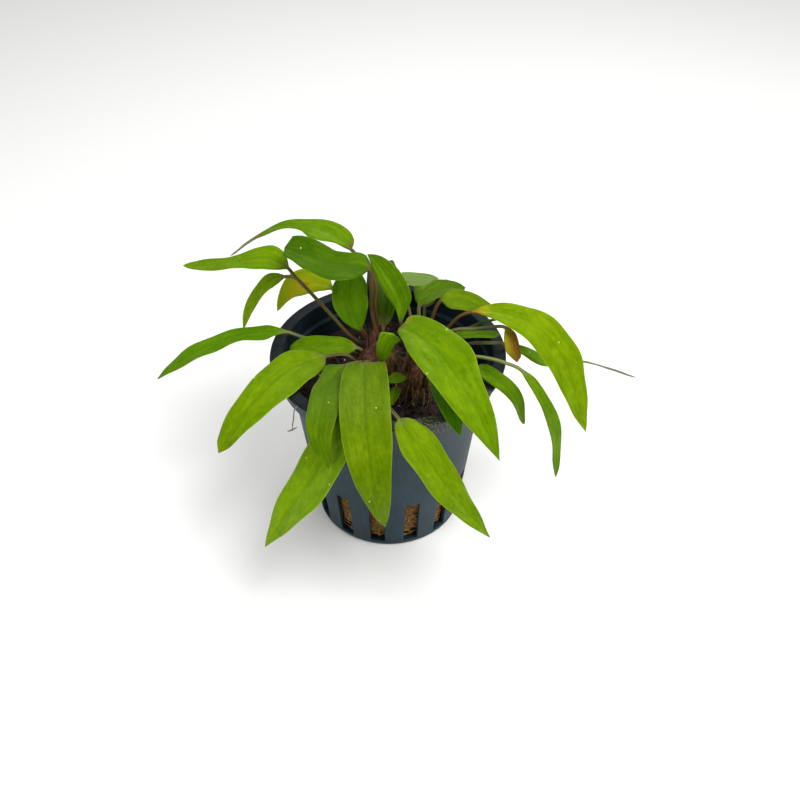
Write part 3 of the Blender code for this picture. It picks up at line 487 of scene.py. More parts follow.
def place_in_mm(tree):
    """Place on the object, in mm."""
    place = add(tree, "TexCoord", out="Object")
    return add(tree, "VectorMath", {0: place, "Scale": 1 / MM}, operation="SCALE")


def finish_material(material, inputs, relief=None, strength=0.0, depth=0.0):
    """Feed the shader, with a relief of a depth in mm where there is one."""
    tree = material.node_tree
    if relief is not None:
        bump = {"Strength": strength, "Distance": depth * MM, "Height": relief}
        inputs["Normal"] = add(tree, "Bump", bump)
    feed(tree, tree.nodes["Principled BSDF"], inputs)
    return material


@dataclass
class Lamina:
    """Colours of a kind of leaf."""
    light: str
    deep: str
    margin: str
    under: str
    roughness: float = 0.42


LAMINAS = {
    # The first and third kinds are the middle green made lighter and darker: painted light for leaves out in
    # the light, painted shade for leaves in shade
    "leaf_bright": Lamina("#789C08", "#4C7400", "#94B02C", "#7C8C48"),
    "leaf_mid": Lamina("#64900A", "#426C02", "#88A634", "#708648"),
    "leaf_dark": Lamina("#507C0A", "#345C02", "#749630", "#5E7A3E"),
    # This pale grey-green is a painted sheen: the glossy reflection on a leaf turned up to the light
    "leaf_pale": Lamina("#7C964C", "#6C8A40", "#94A468", "#788C58", 0.55),
    "leaf_yellow": Lamina("#8A9A0E", "#6C860A", "#A4A83A", "#949244"),
    "leaf_withered": Lamina("#8C8A1C", "#6E6A12", "#7E5A34", "#8C7848", 0.75),
}
STALK_SHADES = [("#5C6236", "#848A5A"), ("#2E180E", "#5E3A24")]  # grey-olive and red-brown, dark and light
STALK_FOOT_SHADE = "#3A2018"
AGED_SHADES = ["#B4A21C", "#86501E", "#77706A"]  # yellow, brown, dry
# Pale spots where drops of water sit: a painted glint
DROP_GLINT_SHADE = "#AEC070"
DROP_GLINTS_APART = 16.0
VEINS = 6  # on each side of the midrib


def living_leaf(name, look):
    """Living leaf, grown: a waxy skin over wet green tissue. It gives the eye a soft satin sheen, cloudy
    patches of two greens, faint long veins, and light that comes through the thin blade."""
    material, tree = start_material(name)
    vectors = {}
    for kind in ("lamina", "lamina_mm", "tone", "aged"):
        vectors[kind] = add(tree, "Attribute", attribute_name=kind, out="Vector")
    u, share, face = add(tree, "SeparateXYZ", {0: vectors["lamina"]}, out=None)
    lighter, yellower, redder = add(tree, "SeparateXYZ", {0: vectors["tone"]}, out=None)
    sheet = vectors["lamina_mm"]  # across and along, in mm
    off_rib = add(tree, "Math", {0: u}, operation="ABSOLUTE")
    on_stalk = add(tree, "MapRange", {0: share, 1: 0.07, 2: -0.03})
    on_blade = add(tree, "MapRange", {0: share, 1: -0.03, 2: 0.07})

    # Clouds, by their size in mm across and along the veins: patches and the flecks in them, a stalk's
    # streaks, and the ragged edges of what has aged
    clouds = []
    for wide, long, detail, low, high, least, most in (
            (2.0, 6.0, 3.0, 0.34, 0.66, 0.0, 0.5), (0.7, 1.5, 3.0, 0.3, 0.7, 0.05, 0.5),
            (0.35, 9.0, 3.0, 0.35, 0.65, 0.0, 1.0), (0.8, 1.6, 4.0, 0.35, 0.65, 0.6, 1.2)):
        place = add(tree, "VectorMath", {0: sheet, 1: (1 / wide, 1 / long, 0)}, operation="MULTIPLY")
        cloud = add(tree, "TexNoise", {"Vector": place, "Scale": 1.0, "Detail": detail, "Roughness": 0.6})
        clouds.append(add(tree, "MapRange", {0: cloud, 1: low, 2: high, 3: least, 4: most}))
    patch, fleck, streak, ragged = clouds
    patch = add(tree, "Math", {0: patch, 1: fleck}, operation="ADD")

    # Darker beside the midrib and towards the margins, as shares of the half-width; the dark band just inside
    # the margins is painted shade
    rib_stripe_and_margin_shade = add(tree, "ValToRGB", {0: off_rib}, stops=[
        (0.0, 0.55), (0.035, 0.5), (0.09, 0.12), (0.3, 0.0), (0.6, 0.1), (0.85, 0.25), (0.96, 0.45)])

    # Long veins follow the margins and show best near them
    wave = add(tree, "Math", {0: off_rib, 1: VEINS * math.pi}, operation="MULTIPLY")
    wave = add(tree, "Math", {0: wave}, operation="SINE")
    wave = add(tree, "Math", {0: wave}, operation="ABSOLUTE")
    vein = add(tree, "MapRange", {0: wave, 1: 0.25, 2: 0.0})
    shows = add(tree, "MapRange", {0: off_rib, 1: 0.1, 2: 0.9, 3: 0.06, 4: 0.28})
    veined = add(tree, "Math", {0: vein, 1: shows}, operation="MULTIPLY")
    rim = add(tree, "MapRange", {0: off_rib, 1: 0.95, 2: 0.99, 4: 0.55})
    below = add(tree, "MapRange", {0: face, 1: 0.2, 2: -0.2, 4: 0.8})
    colour = look.light
    for amount, shade in ((patch, look.deep), (rib_stripe_and_margin_shade, look.deep), (veined, look.deep), (rim, look.margin),
                          (below, look.under)):
        colour = add(tree, "Mix", {0: amount, 6: colour, 7: shade}, **OF_COLOURS)
    value = add(tree, "Math", {0: lighter, 1: 1.0}, operation="ADD")
    hue = add(tree, "MapRange", {0: yellower, 1: -1.0, 3: 0.56, 4: 0.44})
    colour = add(tree, "HueSaturation", {"Hue": hue, "Value": value, "Color": colour})

    # The stalk: streaked, dark at its foot, and green where it meets the blade
    pale, red = [add(tree, "Mix", {0: streak, 6: dark, 7: light}, **OF_COLOURS)
                 for dark, light in STALK_SHADES]
    stalk = add(tree, "Mix", {0: redder, 6: pale, 7: red}, **OF_COLOURS)
    foot = add(tree, "MapRange", {0: share, 1: -0.6, 2: -1.0})
    stalk = add(tree, "Mix", {0: foot, 6: stalk, 7: STALK_FOOT_SHADE}, **OF_COLOURS)

    # What has aged, and a few small drops of water left on the skin, 0.3 mm across, whose pale colour is a
    # painted glint
    aged = add(tree, "SeparateXYZ", {0: vectors["aged"]}, out=None)
    aged = [add(tree, "Math", {0: amount, 1: ragged}, operation="MULTIPLY") for amount in aged]
    drop_glint = add(tree, "TexVoronoi", {"Vector": sheet, "Scale": 1 / DROP_GLINTS_APART}, voronoi_dimensions="2D")
    drop_glint = add(tree, "MapRange", {0: drop_glint, 1: 0.224 / DROP_GLINTS_APART, 2: 0.144 / DROP_GLINTS_APART})
    drop_glint = add(tree, "Math", {0: drop_glint, 1: on_blade}, operation="MULTIPLY")
    for amount, shade in zip([on_stalk] + aged + [drop_glint], [stalk] + AGED_SHADES + [DROP_GLINT_SHADE]):
        colour = add(tree, "Mix", {0: amount, 6: colour, 7: shade}, **OF_COLOURS)

    gloss = add(tree, "MapRange", {0: patch, 3: look.roughness - 0.06, 4: look.roughness + 0.08})
    sunk = add(tree, "Math", {0: vein, 1: -0.5}, operation="MULTIPLY")
    raised = add(tree, "Math", {0: patch, 1: 0.6}, operation="MULTIPLY")
    relief = add(tree, "Math", {0: sunk, 1: raised}, operation="ADD")
    return finish_material(material, {
        "Base Color": colour, "Roughness": add(tree, "Mix", {0: drop_glint, 2: gloss, 3: 0.1}), "IOR": 1.4,
        "Specular IOR Level": 0.25, "Specular Tint": (0.85, 1.0, 0.05, 1.0), "Subsurface Weight": 0.2,
        "Subsurface Radius": (0.6, 1.0, 0.1), "Subsurface Scale": 0.6 * MM}, relief, 0.3, 0.12)


def moulded_polypropylene():
    """Polypropylene, injection moulded: matt blue-grey with a faint satin, scuffed on the wall. Around the
    front right of the collar it wears a yellow-green film of algae and dried dirt."""
    material, tree = start_material("moulded_polypropylene")
    mm = place_in_mm(tree)
    x, y, z = add(tree, "SeparateXYZ", {0: mm}, out=None)
    cloud = add(tree, "TexNoise", {"Vector": mm, "Scale": 1 / 14.0, "Detail": 3.0})
    base = add(tree, "ValToRGB", {0: cloud}, stops=[(0.3, "#1C2B32"), (0.7, "#293B46")])
    # Scuffs run down the wall, 0.5 mm wide and 6 mm long
    place = add(tree, "VectorMath", {0: mm, 1: (2.0, 2.0, 1 / 6.0)}, operation="MULTIPLY")
    scuff = add(tree, "TexNoise", {"Vector": place, "Scale": 1.0, "Detail": 4.0})
    scuffed = add(tree, "MapRange", {0: scuff, 1: 0.56, 2: 0.75, 4: 0.2})
    # Painted shade: the lip's top and the inside of the pot are darkened
    painted_shade = add(tree, "Attribute", attribute_name="painted_shade", out="Fac")
    layers = [(scuffed, "#566874"), (painted_shade, "#0C1618")]
    # Dirt: grains 0.4 mm across on the collar band, most at the front right, dark ones and dry pale ones
    grains = add(tree, "TexNoise", {"Vector": mm, "Scale": 1 / 0.4, "Detail": 5.0, "Roughness": 0.9})
    band = add(tree, "MapRange", {0: z, 1: 40.0, 2: 43.0})
    heading = add(tree, "Math", {0: y, 1: x}, operation="ARCTAN2")
    away = add(tree, "Math", {0: heading, 1: math.radians(DIRT_HEADING_DEG)}, operation="SUBTRACT")
    away = add(tree, "Math", {0: away}, operation="ABSOLUTE")
    near = add(tree, "MapRange", {0: away, 1: 0.65, 2: 0.2})
    dirty = add(tree, "Math", {0: band, 1: near}, operation="MULTIPLY")
    for low, high, shade in ((0.49, 0.42, "#12120C"), (0.53, 0.58, "#8A8858")):
        speck = add(tree, "MapRange", {0: grains, 1: low, 2: high, 4: 0.85})
        layers.append((add(tree, "Math", {0: speck, 1: dirty}, operation="MULTIPLY"), shade))
    # Painted highlight: the lip's edge is paler in patches above the dirt
    edge = add(tree, "MapRange", {0: z, 1: POT_HEIGHT - 1.1, 2: POT_HEIGHT - 0.6})
    edge = add(tree, "Math", {0: edge, 1: near}, operation="MULTIPLY")
    patch = add(tree, "MapRange", {0: cloud, 1: 0.42, 2: 0.6, 4: 0.5})
    layers.append((add(tree, "Math", {0: edge, 1: patch}, operation="MULTIPLY"), "#8494A0"))
    colour = base
    for amount, shade in layers:
        colour = add(tree, "Mix", {0: amount, 6: colour, 7: shade}, **OF_COLOURS)
    return finish_material(material, {
        "Base Color": colour, "Roughness": add(tree, "MapRange", {0: scuff, 3: 0.42, 4: 0.62}), "IOR": 1.49,
        "Specular IOR Level": 0.2}, grains, 0.2, 0.1)


def spun_rockwool():
    """Rockwool, spun mineral fibre, stained by water: orange-brown strands, with painted shade in the dark
    gaps between them, and nearly black where the top is wet and rotted."""
    material, tree = start_material("spun_rockwool")
    mm = place_in_mm(tree)
    height = add(tree, "SeparateXYZ", {0: mm}, out=2)
    # Strands lie level: 0.5 mm thick and 3 mm long
    place = add(tree, "VectorMath", {0: mm, 1: (1 / 3.0, 1 / 3.0, 2.0)}, operation="MULTIPLY")
    strand = add(tree, "TexNoise", {"Vector": place, "Scale": 1.0, "Detail": 5.0, "Roughness": 0.65})
    side = add(tree, "ValToRGB", {0: strand}, stops=[
        (0.3, "#2E1D10"), (0.45, "#6A4A22"), (0.6, "#8E6A2E"), (0.75, "#B08C4C")])
    clod = add(tree, "TexNoise", {"Vector": mm, "Scale": 1 / 1.5, "Detail": 5.0, "Roughness": 0.7})
    top = add(tree, "ValToRGB", {0: clod}, stops=[(0.35, "#160E0D"), (0.55, "#2C1C18"), (0.7, "#3E2A22")])
    high = add(tree, "MapRange", {0: height, 1: 34.0, 2: 38.0})
    colour = add(tree, "Mix", {0: high, 6: side, 7: top}, **OF_COLOURS)
    return finish_material(material, {"Base Color": colour, "Roughness": 0.9}, strand, 0.8, 0.4)


def plant_fibre(name, dark, mid, light, roughness=0.75):
    """Dead plant fibre, dried on the stock: dull and streaked along its length, with painted shade darkening
    its hollows.
    """
    material, tree = start_material(name)
    # Streaks run mostly upwards: 0.4 mm wide and 3 mm long
    place = add(tree, "VectorMath", {0: place_in_mm(tree), 1: (2.5, 2.5, 1 / 3.0)}, operation="MULTIPLY")
    streak = add(tree, "TexNoise", {"Vector": place, "Scale": 1.0, "Detail": 4.0, "Roughness": 0.6})
    colour = add(tree, "ValToRGB", {0: streak}, stops=[(0.32, dark), (0.5, mid), (0.7, light)])
    return finish_material(material, {"Base Color": colour, "Roughness": roughness}, streak, 0.6, 0.2)


def white_grit():
    """Perlite grit, blown volcanic glass: dull white crumbs with pits 0.3 mm across."""
    material, tree = start_material("white_grit")
    pit = add(tree, "TexNoise", {"Vector": place_in_mm(tree), "Scale": 1 / 0.3})
    colour = add(tree, "ValToRGB", {0: pit}, stops=[(0.35, "#A9A296"), (0.6, "#E8E4DA")])
    return finish_material(material, {"Base Color": colour, "Roughness": 0.8})


# Leaves

def crown_radius(height):
    """Radius of a crown at a height above the pot's base."""
    rise = height - CROWN_FOOT
    for (low, r_low), (high, r_high) in zip(CROWN_PROFILE, CROWN_PROFILE[1:]):
        if rise <= high:
            return r_low + (r_high - r_low) * (rise - low) / (high - low)
    return CROWN_PROFILE[-1][1]


def stalk_foot(leaf):
    """Point just clear of the crown where the leaf's stalk begins."""
    angle = math.radians(leaf.foot_deg)
    reach = crown_radius(leaf.foot_height) + FOOT_GAP + leaf.stalk_radius
    return Vector((*CROWNS[leaf.crown], 0)) + turned(reach, angle, leaf.foot_height)


def blade_share(t, rise, taper):
    """Width of a lance-shaped blade at t from base (0) to tip (1), as a share of its widest."""
    if t <= 0 or t >= 1:
        return 0.0
    peak = rise / (rise + taper)
    return (t ** rise * (1 - t) ** taper) / (peak ** rise * (1 - peak) ** taper)


def half_widths(leaf, t):
    """Half-widths of the leaf at t along its blade, left and right of the midrib."""
    least = leaf.stalk_radius * (1 - max(t, 0.0))
    half = leaf.width / 2
    if leaf.outline is None or t <= 0:
        return [max(least, half * blade_share(t, leaf.rise, leaf.taper))] * 2
    both = []
    for side in (1, 2):
        knots = [(0.0, least / half)] + [(row[0], row[side]) for row in leaf.outline] + [(1.0, 0.0)]
        both.append(max(least, half * through(knots, t)))
    return both


def ageing(leaf, u, share):
    """How yellow, how brown and how dry and grey a leaf is, at a place across and along it."""
    amounts = [0.0, 0.0, 0.0]
    for kind, place, across, reach, spread, amount in leaf.aged:
        off = ((share - place) / reach) ** 2 + ((u - across) / spread) ** 2
        amounts[kind] = max(amounts[kind], amount * math.exp(-off * off))
    return amounts


def make_leaf(leaf, number, material):
    """Sweep a ring along the leaf's route: a channelled stalk that opens into a grooved, rippled blade."""
    chance = random.Random(number)
    ripple_length = chance.uniform(9, 14)
    ripple_phase = [chance.uniform(0, math.tau), chance.uniform(0, math.tau)]
    points = [stalk_foot(leaf)] + leaf.stalk + leaf.blade
    curve, marks = smooth_curve(points)
    base = marks[1 + len(leaf.stalk)]
    stalk = evenly(curve[:base + 1], STALK_PITCH, 4)
    blade = evenly(curve[base:], BLADE_PITCH, 12)
    step = (blade[1] - blade[0]).length
    route = stalk + blade[1:]
    heading = Vector(leaf.blade[-1]) - Vector(leaf.blade[0])
    facing = math.atan2(heading.y, heading.x)
    if leaf.facing_deg is not None:
        facing = math.radians(leaf.facing_deg)
    across = Vector((-math.sin(facing), math.cos(facing), 0))
    ring_places = [(u, 1) for u in SPAN] + [(u, -1) for u in reversed(SPAN[1:-1])]
    bm = bmesh.new()
    rings, lamina, sheet = [], [], []
    for i, point in enumerate(route[:-1]):
        n = i - len(stalk) + 1
        t = n / (len(blade) - 1)
        share = t if t > 0 else -1 + i / (len(stalk) - 1)
        along = (route[i + 1] - route[max(i - 1, 0)]).normalized()
        side = (across - across.dot(along) * along).normalized()
        up = along.cross(side)
        roll = math.radians(leaf.roll_deg[0] + (leaf.roll_deg[1] - leaf.roll_deg[0]) * max(t, 0.0))
        side, up = side * math.cos(roll) + up * math.sin(roll), up * math.cos(roll) - side * math.sin(roll)
        stalky = 1 - eased(t, -0.02, 0.1)
        left, right = half_widths(leaf, t)
        depth = LAMINA_HALF + (leaf.stalk_radius - LAMINA_HALF) * (1 - eased(t, -0.05, 0.35))
        tip_fade = eased(1 - t, 0.0, 0.12)
        ring = []
        for u, face in ring_places:
            width = right if u < 0 else left
            x = width * u
            rounded = (1 - u * u) ** 0.5
            slab = (1 - abs(u) ** 6) ** 0.5
            rib = bell(x, 0.6) * (1 - 0.6 * max(t, 0))
            lamina_z = face * (LAMINA_HALF * slab * (1 - 0.3 * abs(u)) + 0.02)
            lamina_z += leaf.cup * width * abs(u) ** 1.6
            if face > 0:
                lamina_z -= 0.16 * rib
            else:
                lamina_z -= (depth - LAMINA_HALF + 0.15) * rib
            lamina_z += 0.05 * math.cos(5 * math.pi * u) * (1 - rib) * tip_fade
            swing = math.sin(math.tau * n * step / ripple_length + ripple_phase[0 if u < 0 else 1])
            lamina_z += leaf.wave * abs(u) ** 2 * swing * tip_fade
            stalk_z = face * leaf.stalk_radius * rounded
            if face > 0:
                stalk_z -= 0.5 * leaf.stalk_radius * bell(u, 0.5)
            z = stalky * stalk_z + (1 - stalky) * lamina_z
            lobe = leaf.lobes[0 if u > 0 else 1] * abs(u) ** 1.5
            back = lobe * eased(t, 0.0, 0.04) * (1 - eased(t, 0.04, 0.2))
            ring.append(bm.verts.new((point + side * x + up * z - along * back) * MM))
            lamina.append((u, share, face * slab))
            sheet.append((x + 40 * number, n * step, 0))
        rings.append(ring)
    rings.append([bm.verts.new(route[-1] * MM)])
    lamina.append((0, 1, 0))
    sheet.append((40 * number, (len(blade) - 1) * step, 0))
    skin_rings(bm, rings)
    obj = piece(leaf.name + "_grown", bm, material, leaf.name)
    tones = [leaf.tone] * len(lamina)
    aged = [ageing(leaf, u, share) for u, share, _ in lamina]
    for name, values in (("lamina", lamina), ("lamina_mm", sheet), ("tone", tones), ("aged", aged)):
        attribute = obj.data.attributes.new(name, 'FLOAT_VECTOR', 'POINT')
        attribute.data.foreach_set("vector", [c for value in values for c in value])
    return obj


# Pot

def wall_radius(height):
    """Outside radius of the pot's wall below its collar."""
    if height < SHOULDER_HEIGHT:
        return BASE_RADIUS + (SHOULDER_RADIUS - BASE_RADIUS) * height / SHOULDER_HEIGHT
    share = min((height - SHOULDER_HEIGHT) / (STEP_HEIGHT - SHOULDER_HEIGHT), 1.0)
    return SHOULDER_RADIUS + (STEP_RADIUS - SHOULDER_RADIUS) * share


def pot_rows():
    """Outline of the pot's section, from the middle of its base round the lip to the middle of its floor."""
    under = POT_HEIGHT - RIM_THICKNESS
    lip = RIM_THICKNESS / 2
    flat = BASE_RADIUS - BASE_ROUND
    rows = [(0, 0), (DRAIN_INNER, 0), (DRAIN_OUTER, 0), (flat, 0)]
    rows += [(flat + BASE_ROUND * math.sin(a), BASE_ROUND * (1 - math.cos(a))) for a in (0.5, 1.05)]
    heights = [0.8, SLOT_BOTTOM, SLOT_TOP, 20.0, 25.0, 30.0, SHOULDER_HEIGHT, 38.5, STEP_HEIGHT]
    rows += [(wall_radius(h), h) for h in heights]
    rows += [(COLLAR_RADIUS - 0.2, STEP_HEIGHT + 0.25), (COLLAR_RADIUS, STEP_HEIGHT + 0.5)]
    rows += [(COLLAR_RADIUS + 0.3, under - 0.5), (COLLAR_RADIUS + 0.6, under)]
    for k in range(7):
        a = -math.pi / 2 + math.pi * k / 6
        rows.append((RIM_RADIUS - lip + lip * math.cos(a), under + lip + lip * math.sin(a)))
    inner = RIM_RADIUS - RIM_WIDTH
    rows += [(inner + 0.5, POT_HEIGHT), (inner + 0.15, POT_HEIGHT - 0.15), (inner, POT_HEIGHT - 0.5)]
    rows += [(inner, STEP_HEIGHT + 1.5), (inner - 0.3, STEP_HEIGHT + 1.2)]
    rows += [(STEP_RADIUS - WALL, STEP_HEIGHT + 1.0)]
    rows += [(wall_radius(h) - WALL, h) for h in reversed(heights[1:])]
    rows += [(wall_radius(FLOOR_THICKNESS) - WALL, FLOOR_THICKNESS)]
    rows += [(DRAIN_OUTER, FLOOR_THICKNESS), (DRAIN_INNER, FLOOR_THICKNESS), (0, FLOOR_THICKNESS)]
    return rows


def make_pot(material):
    """Turn the pot's section, leaving out the slots and drain holes, and line each of them through."""
    rows = pot_rows()
    pitch = math.tau / SLOT_COUNT
    bm = bmesh.new()
    grid = []
    for radius, height in rows:
        if radius == 0:
            grid.append([bm.verts.new((0, 0, height * MM))])
            continue
        half = (DRAIN_WIDTH if radius < BASE_RADIUS - 2 else SLOT_WIDTH) / 2
        edge = math.asin(half / radius)
        ring = []
        for cell in range(SLOT_COUNT):
            middle = math.radians(-90 + SLOT_OFFSET_DEG) + pitch * cell
            turns = [-pitch / 2 + (pitch / 2 - edge) * k / 4 for k in range(4)]
            turns += [edge * k / 3 for k in (-3, -1, 1, 3)]
            turns += [edge + (pitch / 2 - edge) * k / 4 for k in range(1, 4)]
            ring += [bm.verts.new(turned(radius, middle + turn, height) * MM) for turn in turns]
        grid.append(ring)
    per_cell = len(grid[1]) // SLOT_COUNT
    first, last = 4, 7  # columns at a slot's two edges
    slot_rows = [i for i, (r, h) in enumerate(rows) if h in (SLOT_BOTTOM, SLOT_TOP)]
    drain_rows = [i for i, (r, h) in enumerate(rows) if r in (DRAIN_INNER, DRAIN_OUTER)]
    assert len(set(rows)) == len(rows) and len(slot_rows) == 4 and len(drain_rows) == 4
    openings = []
    for cell in range(SLOT_COUNT):
        openings.append((cell, slot_rows))
        if cell % 2 == 0:
            openings.append((cell, drain_rows))
    left_out = set()
    for cell, (a, b, c, d) in openings:
        for column in range(first, last):
            left_out.add((a, cell * per_cell + column))
            left_out.add((c, cell * per_cell + column))
    skin_rings(bm, grid, left_out=left_out)
    for cell, (a, b, c, d) in openings:
        columns = [cell * per_cell + column for column in range(first, last + 1)]
        outside = [grid[a][k] for k in columns] + [grid[b][k] for k in reversed(columns)]
        inside = [grid[d][k] for k in columns] + [grid[c][k] for k in reversed(columns)]
        skin_rings(bm, [outside, inside], close=False)
    lip = next(i for i, (radius, height) in enumerate(rows) if height > POT_HEIGHT - 0.6)
    # Painted shade: full on the lip's top, half down the inside and over the floor
    painted_shade = []
    for i, ring in enumerate(grid):
        shade_share = 1.0 if rows[i][0] > RIM_RADIUS - RIM_WIDTH else 0.5
        painted_shade += [shade_share if i >= lip else 0.0] * len(ring)
    pot = piece("net_pot_moulding", bm, material, "net_pot", 35)
    pot.data.attributes.new("painted_shade", 'FLOAT', 'POINT').data.foreach_set("value", painted_shade)
    soften = pot.modifiers.new("soft_edges", 'BEVEL')
    soften.width = EDGE_ROUND * MM
    soften.segments = 2
    soften.limit_method = 'ANGLE'
    soften.angle_limit = math.radians(50)


# Rockwool

def plug_surface(angle, height):
    """Outside of the plug at an angle and a height, with its strands and hollows."""
    radius = wall_radius(height) - WALL - PLUG_CLEAR
    place = turned(radius, angle, height)
    rough = noise.fractal(Vector((place.x / 2.2, place.y / 2.2, place.z / 0.9)), 0.7, 2.0, 4)
    return radius - 0.35 + 0.35 * rough


def make_plug(material, fibre, grit):
    """Plug of tangled strands; its top is lumpy and wet, with crumbs and a few white grains on it."""
    chance = random.Random(7)
    bm = bmesh.new()
    steps, levels = 260, 110
    rings = [[bm.verts.new((0, 0, PLUG_BOTTOM * MM))]]
    for i in range(levels + 1):
        height = PLUG_BOTTOM + (PLUG_TOP - PLUG_BOTTOM) * i / levels
        ring = []
        for k in range(steps):
            angle = math.tau * k / steps
            ring.append(bm.verts.new(turned(plug_surface(angle, height), angle, height) * MM))
        rings.append(ring)
    edge = plug_surface(0, PLUG_TOP)
    top_rings = 40
    for i in range(1, top_rings):
        ring = []
        for k in range(steps):
            place = turned(edge * (1 - i / top_rings), math.tau * k / steps, 0)
            lump = noise.fractal(Vector((place.x / 3.0, place.y / 3.0, 3.7)), 0.8, 2.0, 5)
            place.z = PLUG_TOP - 0.3 + 0.8 * lump
            ring.append(bm.verts.new(place * MM))
        rings.append(ring)
    rings.append([bm.verts.new((0, 0, PLUG_TOP * MM))])
    skin_rings(bm, rings)
    piece("rockwool_strands", bm, material, "rockwool_plug", 80)

    bm = bmesh.new()
    for cell in range(SLOT_COUNT):
        middle = math.radians(-90 + SLOT_OFFSET_DEG) + math.tau * cell / SLOT_COUNT
        for _ in range(STRANDS_PER_SLOT):
            angle = middle + chance.uniform(-0.13, 0.13)
            height = chance.uniform(SLOT_BOTTOM + 0.6, SLOT_TOP + 0.5)
            slope = chance.gauss(0, 0.6)
            length = chance.uniform(2.0, 5.0)
            bend = chance.uniform(-0.5, 0.5)
            route = []
            for k in range(7):
                s = (k / 6 - 0.5) * length
                a = angle + s * math.cos(slope) / 18
                h = height + s * math.sin(slope) + bend * math.sin(math.pi * k / 6)
                h = min(max(h, SLOT_BOTTOM + 0.2), SLOT_TOP + 1)
                r = plug_surface(a, h) + 0.08 + 0.2 * math.sin(math.pi * k / 6)
                route.append(turned(r, a, h))
            thread(bm, route, chance.uniform(0.08, 0.16), 4)
    piece("rockwool_loose_strands", bm, fibre)

    bm = bmesh.new()
    white = bmesh.new()
    for n in range(CRUMBS):
        angle, r = chance.uniform(0, math.tau), 21 * math.sqrt(chance.random())
        size = chance.uniform(0.25, 0.75) if n % WHITE_EVERY else chance.uniform(0.16, 0.3)
        target = bm if n % WHITE_EVERY else white
        place = Matrix.Translation(turned(r, angle, PLUG_TOP) * MM)
        made = bmesh.ops.create_icosphere(target, subdivisions=1, radius=size * MM, matrix=place)
        for vert in made["verts"]:
            vert.co += Vector([chance.uniform(-0.25, 0.25) * size * MM for _ in range(3)])
    piece("soil_crumbs", bm, material)
    piece("white_grains", white, grit)


# Crowns

def make_crown(name, place, number, bark, fibres):
    """Ridged stock under torn leaf sheaths, with fibres that splay down to the rockwool."""
    chance = random.Random(50 + number)
    centre = Vector((*place, 0))
    bm = bmesh.new()
    steps, levels = 72, 34
    rings = [[bm.verts.new((centre + Vector((0, 0, CROWN_FOOT - 1.5))) * MM)]]
    for i in range(levels):
        height = CROWN_FOOT - 1.2 + (CROWN_HEIGHT + 1.0) * i / (levels - 1)
        ring = []
        for k in range(steps):
            angle = math.tau * k / steps
            r = crown_radius(height) if height < CROWN_FOOT + 7.2 else 1.5
            ridge = 0.3 * math.sin(9 * angle + 0.25 * height) + 0.2 * math.sin(23 * angle - 0.5 * height)
            lump = noise.fractal(Vector((angle * 2, height / 2.0, number * 9.0)), 0.8, 2.0, 3)
            r = max(0.4, r + 0.5 * ridge + 0.4 * lump - 0.1)
            ring.append(bm.verts.new((centre + turned(r, angle, height)) * MM))
        rings.append(ring)
    rings.append([bm.verts.new((centre + Vector((0, 0, CROWN_FOOT + CROWN_HEIGHT))) * MM)])
    skin_rings(bm, rings)
    for n in range(SHEATHS):
        angle = chance.uniform(0, math.tau)
        lean = chance.uniform(-0.3, 0.3)
        tall = n % 2
        top = chance.uniform(9.0, 14.0) if tall else chance.uniform(5.0, 9.0)
        spread = chance.uniform(-0.2, 0.5) if tall else chance.uniform(0.3, 1.2)
        route = []
        for k in range(9):
            h = top * k / 8
            a = angle + lean * h / 8
            r = crown_radius(CROWN_FOOT + h) + 0.15 + spread * (h / 9) ** 2
            route.append(centre + turned(r, a, CROWN_FOOT - 0.5 + h))
        thread(bm, route, chance.uniform(0.4, 0.7 if tall else 0.8), 8, 0.4, 0.2, turned(1, angle, 0))
    piece(name + "_stock", bm, bark, name)

    bm = bmesh.new()
    for _ in range(FIBRES):
        angle = chance.uniform(0, math.tau)
        top = chance.uniform(1.5, 7.0)
        reach = chance.uniform(1.0, 6.5)
        twist = chance.uniform(-0.5, 0.5)
        route = []
        for k in range(8):
            s = k / 7
            h = top * (1 - s) ** 1.5 + chance.uniform(-0.15, 0.15)
            r = crown_radius(CROWN_FOOT + top) + 0.2 + (reach + 3) * s * 0.7
            r = max(r, crown_radius(CROWN_FOOT + h) + 0.2)
            a = angle + twist * s
            route.append(centre + turned(r, a, CROWN_FOOT + h))
        thread(bm, route, chance.uniform(0.07, 0.17), 4)
    piece(name + "_fibres", bm, fibres)


def make_root(material):
    """Root thread outside the collar, with a short side root at its lower end."""
    bm = bmesh.new()
    thread(bm, evenly(smooth_curve(ROOT_ROUTE)[0], 0.25, 12), ROOT_RADIUS, 8, thin=0.6)
    side_root = [(-22.1, -20.7, 41.3), (-21.1, -20.7, 41.7), (-19.9, -20.8, 42.7)]
    thread(bm, evenly(smooth_curve(side_root)[0], 0.25, 8), 0.2, 6)
    piece("root_thread_hanging", bm, material, "root_thread")


# Studio

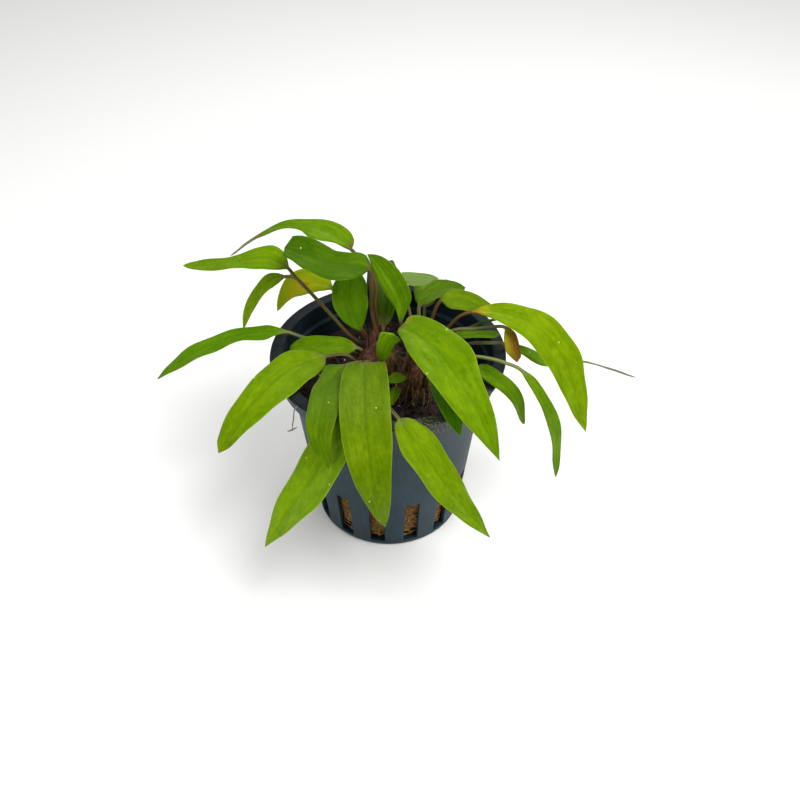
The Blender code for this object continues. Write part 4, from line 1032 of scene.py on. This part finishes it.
def studio():
    """Pale floor, soft lights and the photograph's viewpoint."""
    scene = bpy.context.scene
    scene.view_settings.view_transform = 'Standard'
    bm = bmesh.new()
    bmesh.ops.create_grid(bm, x_segments=1, y_segments=1, size=3)
    mesh = bpy.data.meshes.new("floor")
    bm.to_mesh(mesh)
    bm.free()
    floor = bpy.data.objects.new("floor", mesh)
    scene.collection.objects.link(floor)
    paper = start_material("pale_paper")[0]
    mesh.materials.append(finish_material(paper, {"Base Color": "#F6F6F4", "Roughness": 0.9}))

    world = bpy.data.worlds.new("studio")
    scene.world = world
    world.use_nodes = True
    feed(world.node_tree, world.node_tree.nodes["Background"], {"Color": (1, 1, 1, 1), "Strength": 0.5})
    for name, place, size, power in (("key", (180, -160, 420), 260, 1.9),
                                     ("fill", (-320, -260, 260), 300, 0.45),
                                     ("back", (60, 260, 420), 260, 0.6)):
        lamp = bpy.data.lights.new(name, 'AREA')
        lamp.shape = 'DISK'
        lamp.size = size * MM
        lamp.energy = power
        obj = bpy.data.objects.new(name, lamp)
        obj.location = Vector(place) * MM
        obj.rotation_euler = (Vector((0, 0, 45)) - Vector(place)).to_track_quat('-Z', 'Y').to_euler()
        scene.collection.objects.link(obj)

    view = bpy.data.cameras.new("viewpoint")
    view.lens = LENS
    view.sensor_width = 36
    view.clip_start = 0.01
    camera = bpy.data.objects.new("viewpoint", view)
    camera.location = Vector(CAMERA_PLACE) * MM
    camera.rotation_euler = (Vector(CAMERA_AIM) - Vector(CAMERA_PLACE)).to_track_quat('-Z', 'Y').to_euler()
    scene.collection.objects.link(camera)
    scene.camera = camera


def main():
    studio()
    laminas = {name: living_leaf(name, look) for name, look in LAMINAS.items()}
    for number, leaf in enumerate(LEAVES):
        make_leaf(leaf, number, laminas[leaf.finish])
    make_pot(moulded_polypropylene())
    rockwool = spun_rockwool()
    strands = plant_fibre("loose_mineral_fibre", "#5A3E1C", "#8E6A30", "#B8965A", 0.85)
    make_plug(rockwool, strands, white_grit())
    bark = plant_fibre("dried_leaf_sheath", "#2C140A", "#663A24", "#94704E")
    fibres = plant_fibre("dried_root_fibre", "#33230F", "#60481F", "#8C7238")
    for number, (name, place) in enumerate(CROWNS.items()):
        make_crown(name, place, number, bark, fibres)
    make_root(plant_fibre("dry_root_skin", "#5E564A", "#7E766A", "#9A9286"))


main()

bpy.context.view_layer.update()
